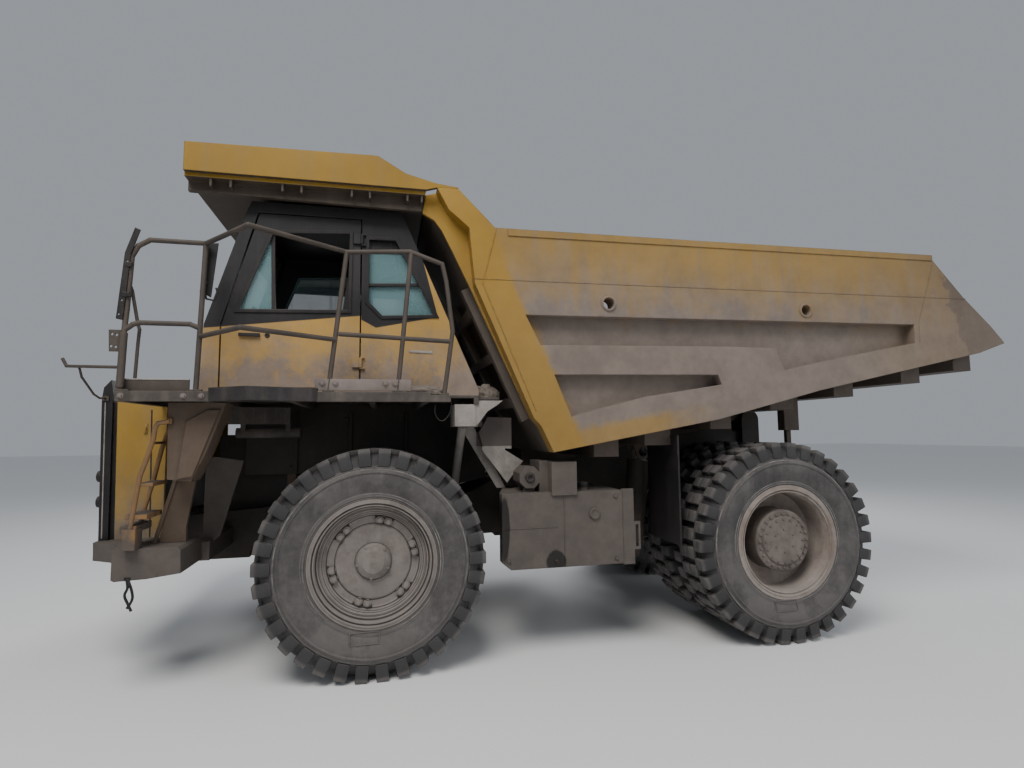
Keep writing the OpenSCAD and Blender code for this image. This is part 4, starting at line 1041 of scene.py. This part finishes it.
splashTrim = {
    "y": (0.604, 0.612),
    "outline": [(1.440, 1.800), (1.440, 2.600), (-0.880, 2.600), (-0.880, 2.520), (-1.300, 2.520),
                (-1.300, 1.700), (-0.980, 1.640), (-0.560, 1.800)],
    "folds": [(0.900, 1.800, 2.500), (0.300, 1.800, 2.500), (-0.340, 1.810, 2.500), (-1.000, 1.700, 2.500)],
    "half fold": 0.020, "fold out": (-0.002, 0.022), "bevels": (0.002, 0.006),
    "bolt": (0.011, 0.012), "bolt ahead": 0.060, "bolt ends": (0.080, -0.070),
}


def splashPieces():
    v = splashTrim
    face, half, ahead = v["y"][1], v["half fold"], v["bolt ahead"]
    inner, outer = (face + out for out in v["fold out"])
    parts = [slab(v["outline"], *v["y"], v["bevels"][0])]
    for x, low, high in v["folds"]:
        ends = [(x + ahead, face, end + step) for end, step in zip((low, high), v["bolt ends"])]
        parts.append(plate((x - half, inner, low + half), (x + half, outer, high), v["bevels"][1]))
        parts.append(bolts(ends, *v["bolt"]))
    finished(joined(parts, twin=True), "splash_panels", matFrame, "chassis")


# Tank: panel seams, plugs, sight glass and filler cap. The drum above it has a round port.

tankTrim = {
    "seams": [[(-1.867, 2.000, 1.632), (-1.867, 2.000, 0.912)],
              [(-1.232, 2.000, 1.296), (-1.800, 2.000, 1.296)]],
    "seam size": (0.012, 0.010),
    "plugs": [(-1.290, 2.000, 0.985), (-1.780, 2.000, 0.955), (-2.420, 2.000, 0.955), (-2.420, 2.000, 1.580)],
    "plug": (0.016, 0.016), "steps": 32, "cap steps": 24,
    "sight": (-2.189, 2.012, 1.414),
    "sight outline": [(0.0, 0.002), (0.036, 0.004), (0.040, 0.010), (0.052, 0.010), (0.058, 0.0)],
    "cap": (-2.136, 1.800, 1.674),
    "cap outline": [(0.0, 0.050), (0.030, 0.050), (0.060, 0.044), (0.066, 0.036), (0.066, 0.0)],
    "port": (-1.540, 1.900, 1.787),
    "port outline": [(0.0, 0.004), (0.022, 0.006), (0.026, 0.022), (0.044, 0.022), (0.052, 0.0)],
}


def tankPieces():
    v = tankTrim
    x, y, z = v["cap"]
    cap = moved(turned(turnedShape(v["cap outline"], v["cap steps"]), math.pi / 2, "X"), axleX + x, y, z)
    port = ringAt(*v["port"], v["port outline"], v["steps"])
    parts = [swept(path, *v["seam size"], outward, sides=6) for path in v["seams"]]
    parts += [ringAt(*v["sight"], v["sight outline"], v["steps"]), bolts(v["plugs"], *v["plug"])]
    finished(joined(parts), "tank_trim", matMud, "chassis")
    finished(port, "drum_port", matFrame, "chassis")
    finished(cap, "tank_filler_cap", matBlack, "chassis")


for make in (cabPieces, doorPieces, bedPieces, hoodPieces, deckPieces, hosePieces, splashPieces, tankPieces):
    make()
print("trim done")


# Floor, light and camera.

stageValues = {
    "floor size": 70, "floor colour": (0.82, 0.82, 0.82, 1), "floor roughness": 0.75,
    "sky colour": (0.80, 0.86, 0.93, 1), "sky strength": 0.40, "aim": (0, 0, 1.8),
}
lights = {
    "key": {"place": (5.0, 8.5, 12.5), "size": 7.0, "watts": 1500, "colour": (1.0, 0.97, 0.93)},
    "fill": {"place": (-9.0, 10.0, 7.0), "size": 9.0, "watts": 420, "colour": (0.94, 0.97, 1.0)},
    "back": {"place": (-2.0, -12.0, 9.0), "size": 8.0, "watts": 900, "colour": (0.96, 0.98, 1.0)},
}
cameraValues = {"place": (2.317, 7.533, 2.247), "yaw": 12.64, "pitch": 4.90, "roll": -0.57, "lens": 19.85,
                "sensor": 36}


def makeFloor():
    v = stageValues
    mat, tree = newMaterial("pale floor")
    shader = put(tree, "ShaderNodeBsdfPrincipled")
    shader.inputs["Base Color"].default_value = v["floor colour"]
    shader.inputs["Roughness"].default_value = v["floor roughness"]
    surfaceOut(tree, shader)
    bm = bmesh.new()
    bmesh.ops.create_grid(bm, x_segments=1, y_segments=1, size=v["floor size"])
    mesh = bpy.data.meshes.new("floor")
    bm.to_mesh(mesh)
    bm.free()
    mesh.materials.append(mat)
    obj = inScene("floor", mesh)


def makeLights():
    for name, light in lights.items():
        data = bpy.data.lights.new(name, "AREA")
        data.shape = "DISK"
        data.size = light["size"]
        data.energy = light["watts"]
        data.color = light["colour"]
        obj = inScene(name, data)
        obj.location = light["place"]
        aim = Vector(stageValues["aim"]) - Vector(light["place"])
        obj.rotation_euler = aim.to_track_quat("-Z", "Y").to_euler()
    world = bpy.data.worlds.new("studio")
    world.use_nodes = True
    sky = world.node_tree.nodes["Background"]
    sky.inputs[0].default_value = stageValues["sky colour"]
    sky.inputs[1].default_value = stageValues["sky strength"]
    bpy.context.scene.world = world


def makeCamera():
    v = cameraValues
    yaw, pitch, roll = (math.radians(v[k]) for k in ("yaw", "pitch", "roll"))
    ahead = Vector((-math.sin(yaw) * math.cos(pitch), -math.cos(yaw) * math.cos(pitch), math.sin(pitch)))
    level = Vector((-math.cos(yaw), math.sin(yaw), 0))
    rise = level.cross(ahead)
    right = level * math.cos(roll) + rise * math.sin(roll)
    up = rise * math.cos(roll) - level * math.sin(roll)
    data = bpy.data.cameras.new("camera")
    data.lens = v["lens"]
    data.sensor_width = v["sensor"]
    obj = inScene("camera", data)
    obj.matrix_world = Matrix.Translation(v["place"]) @ Matrix((right, up, -ahead)).transposed().to_4x4()
    bpy.context.scene.camera = obj


makeFloor()
makeLights()
makeCamera()
print("stage done")
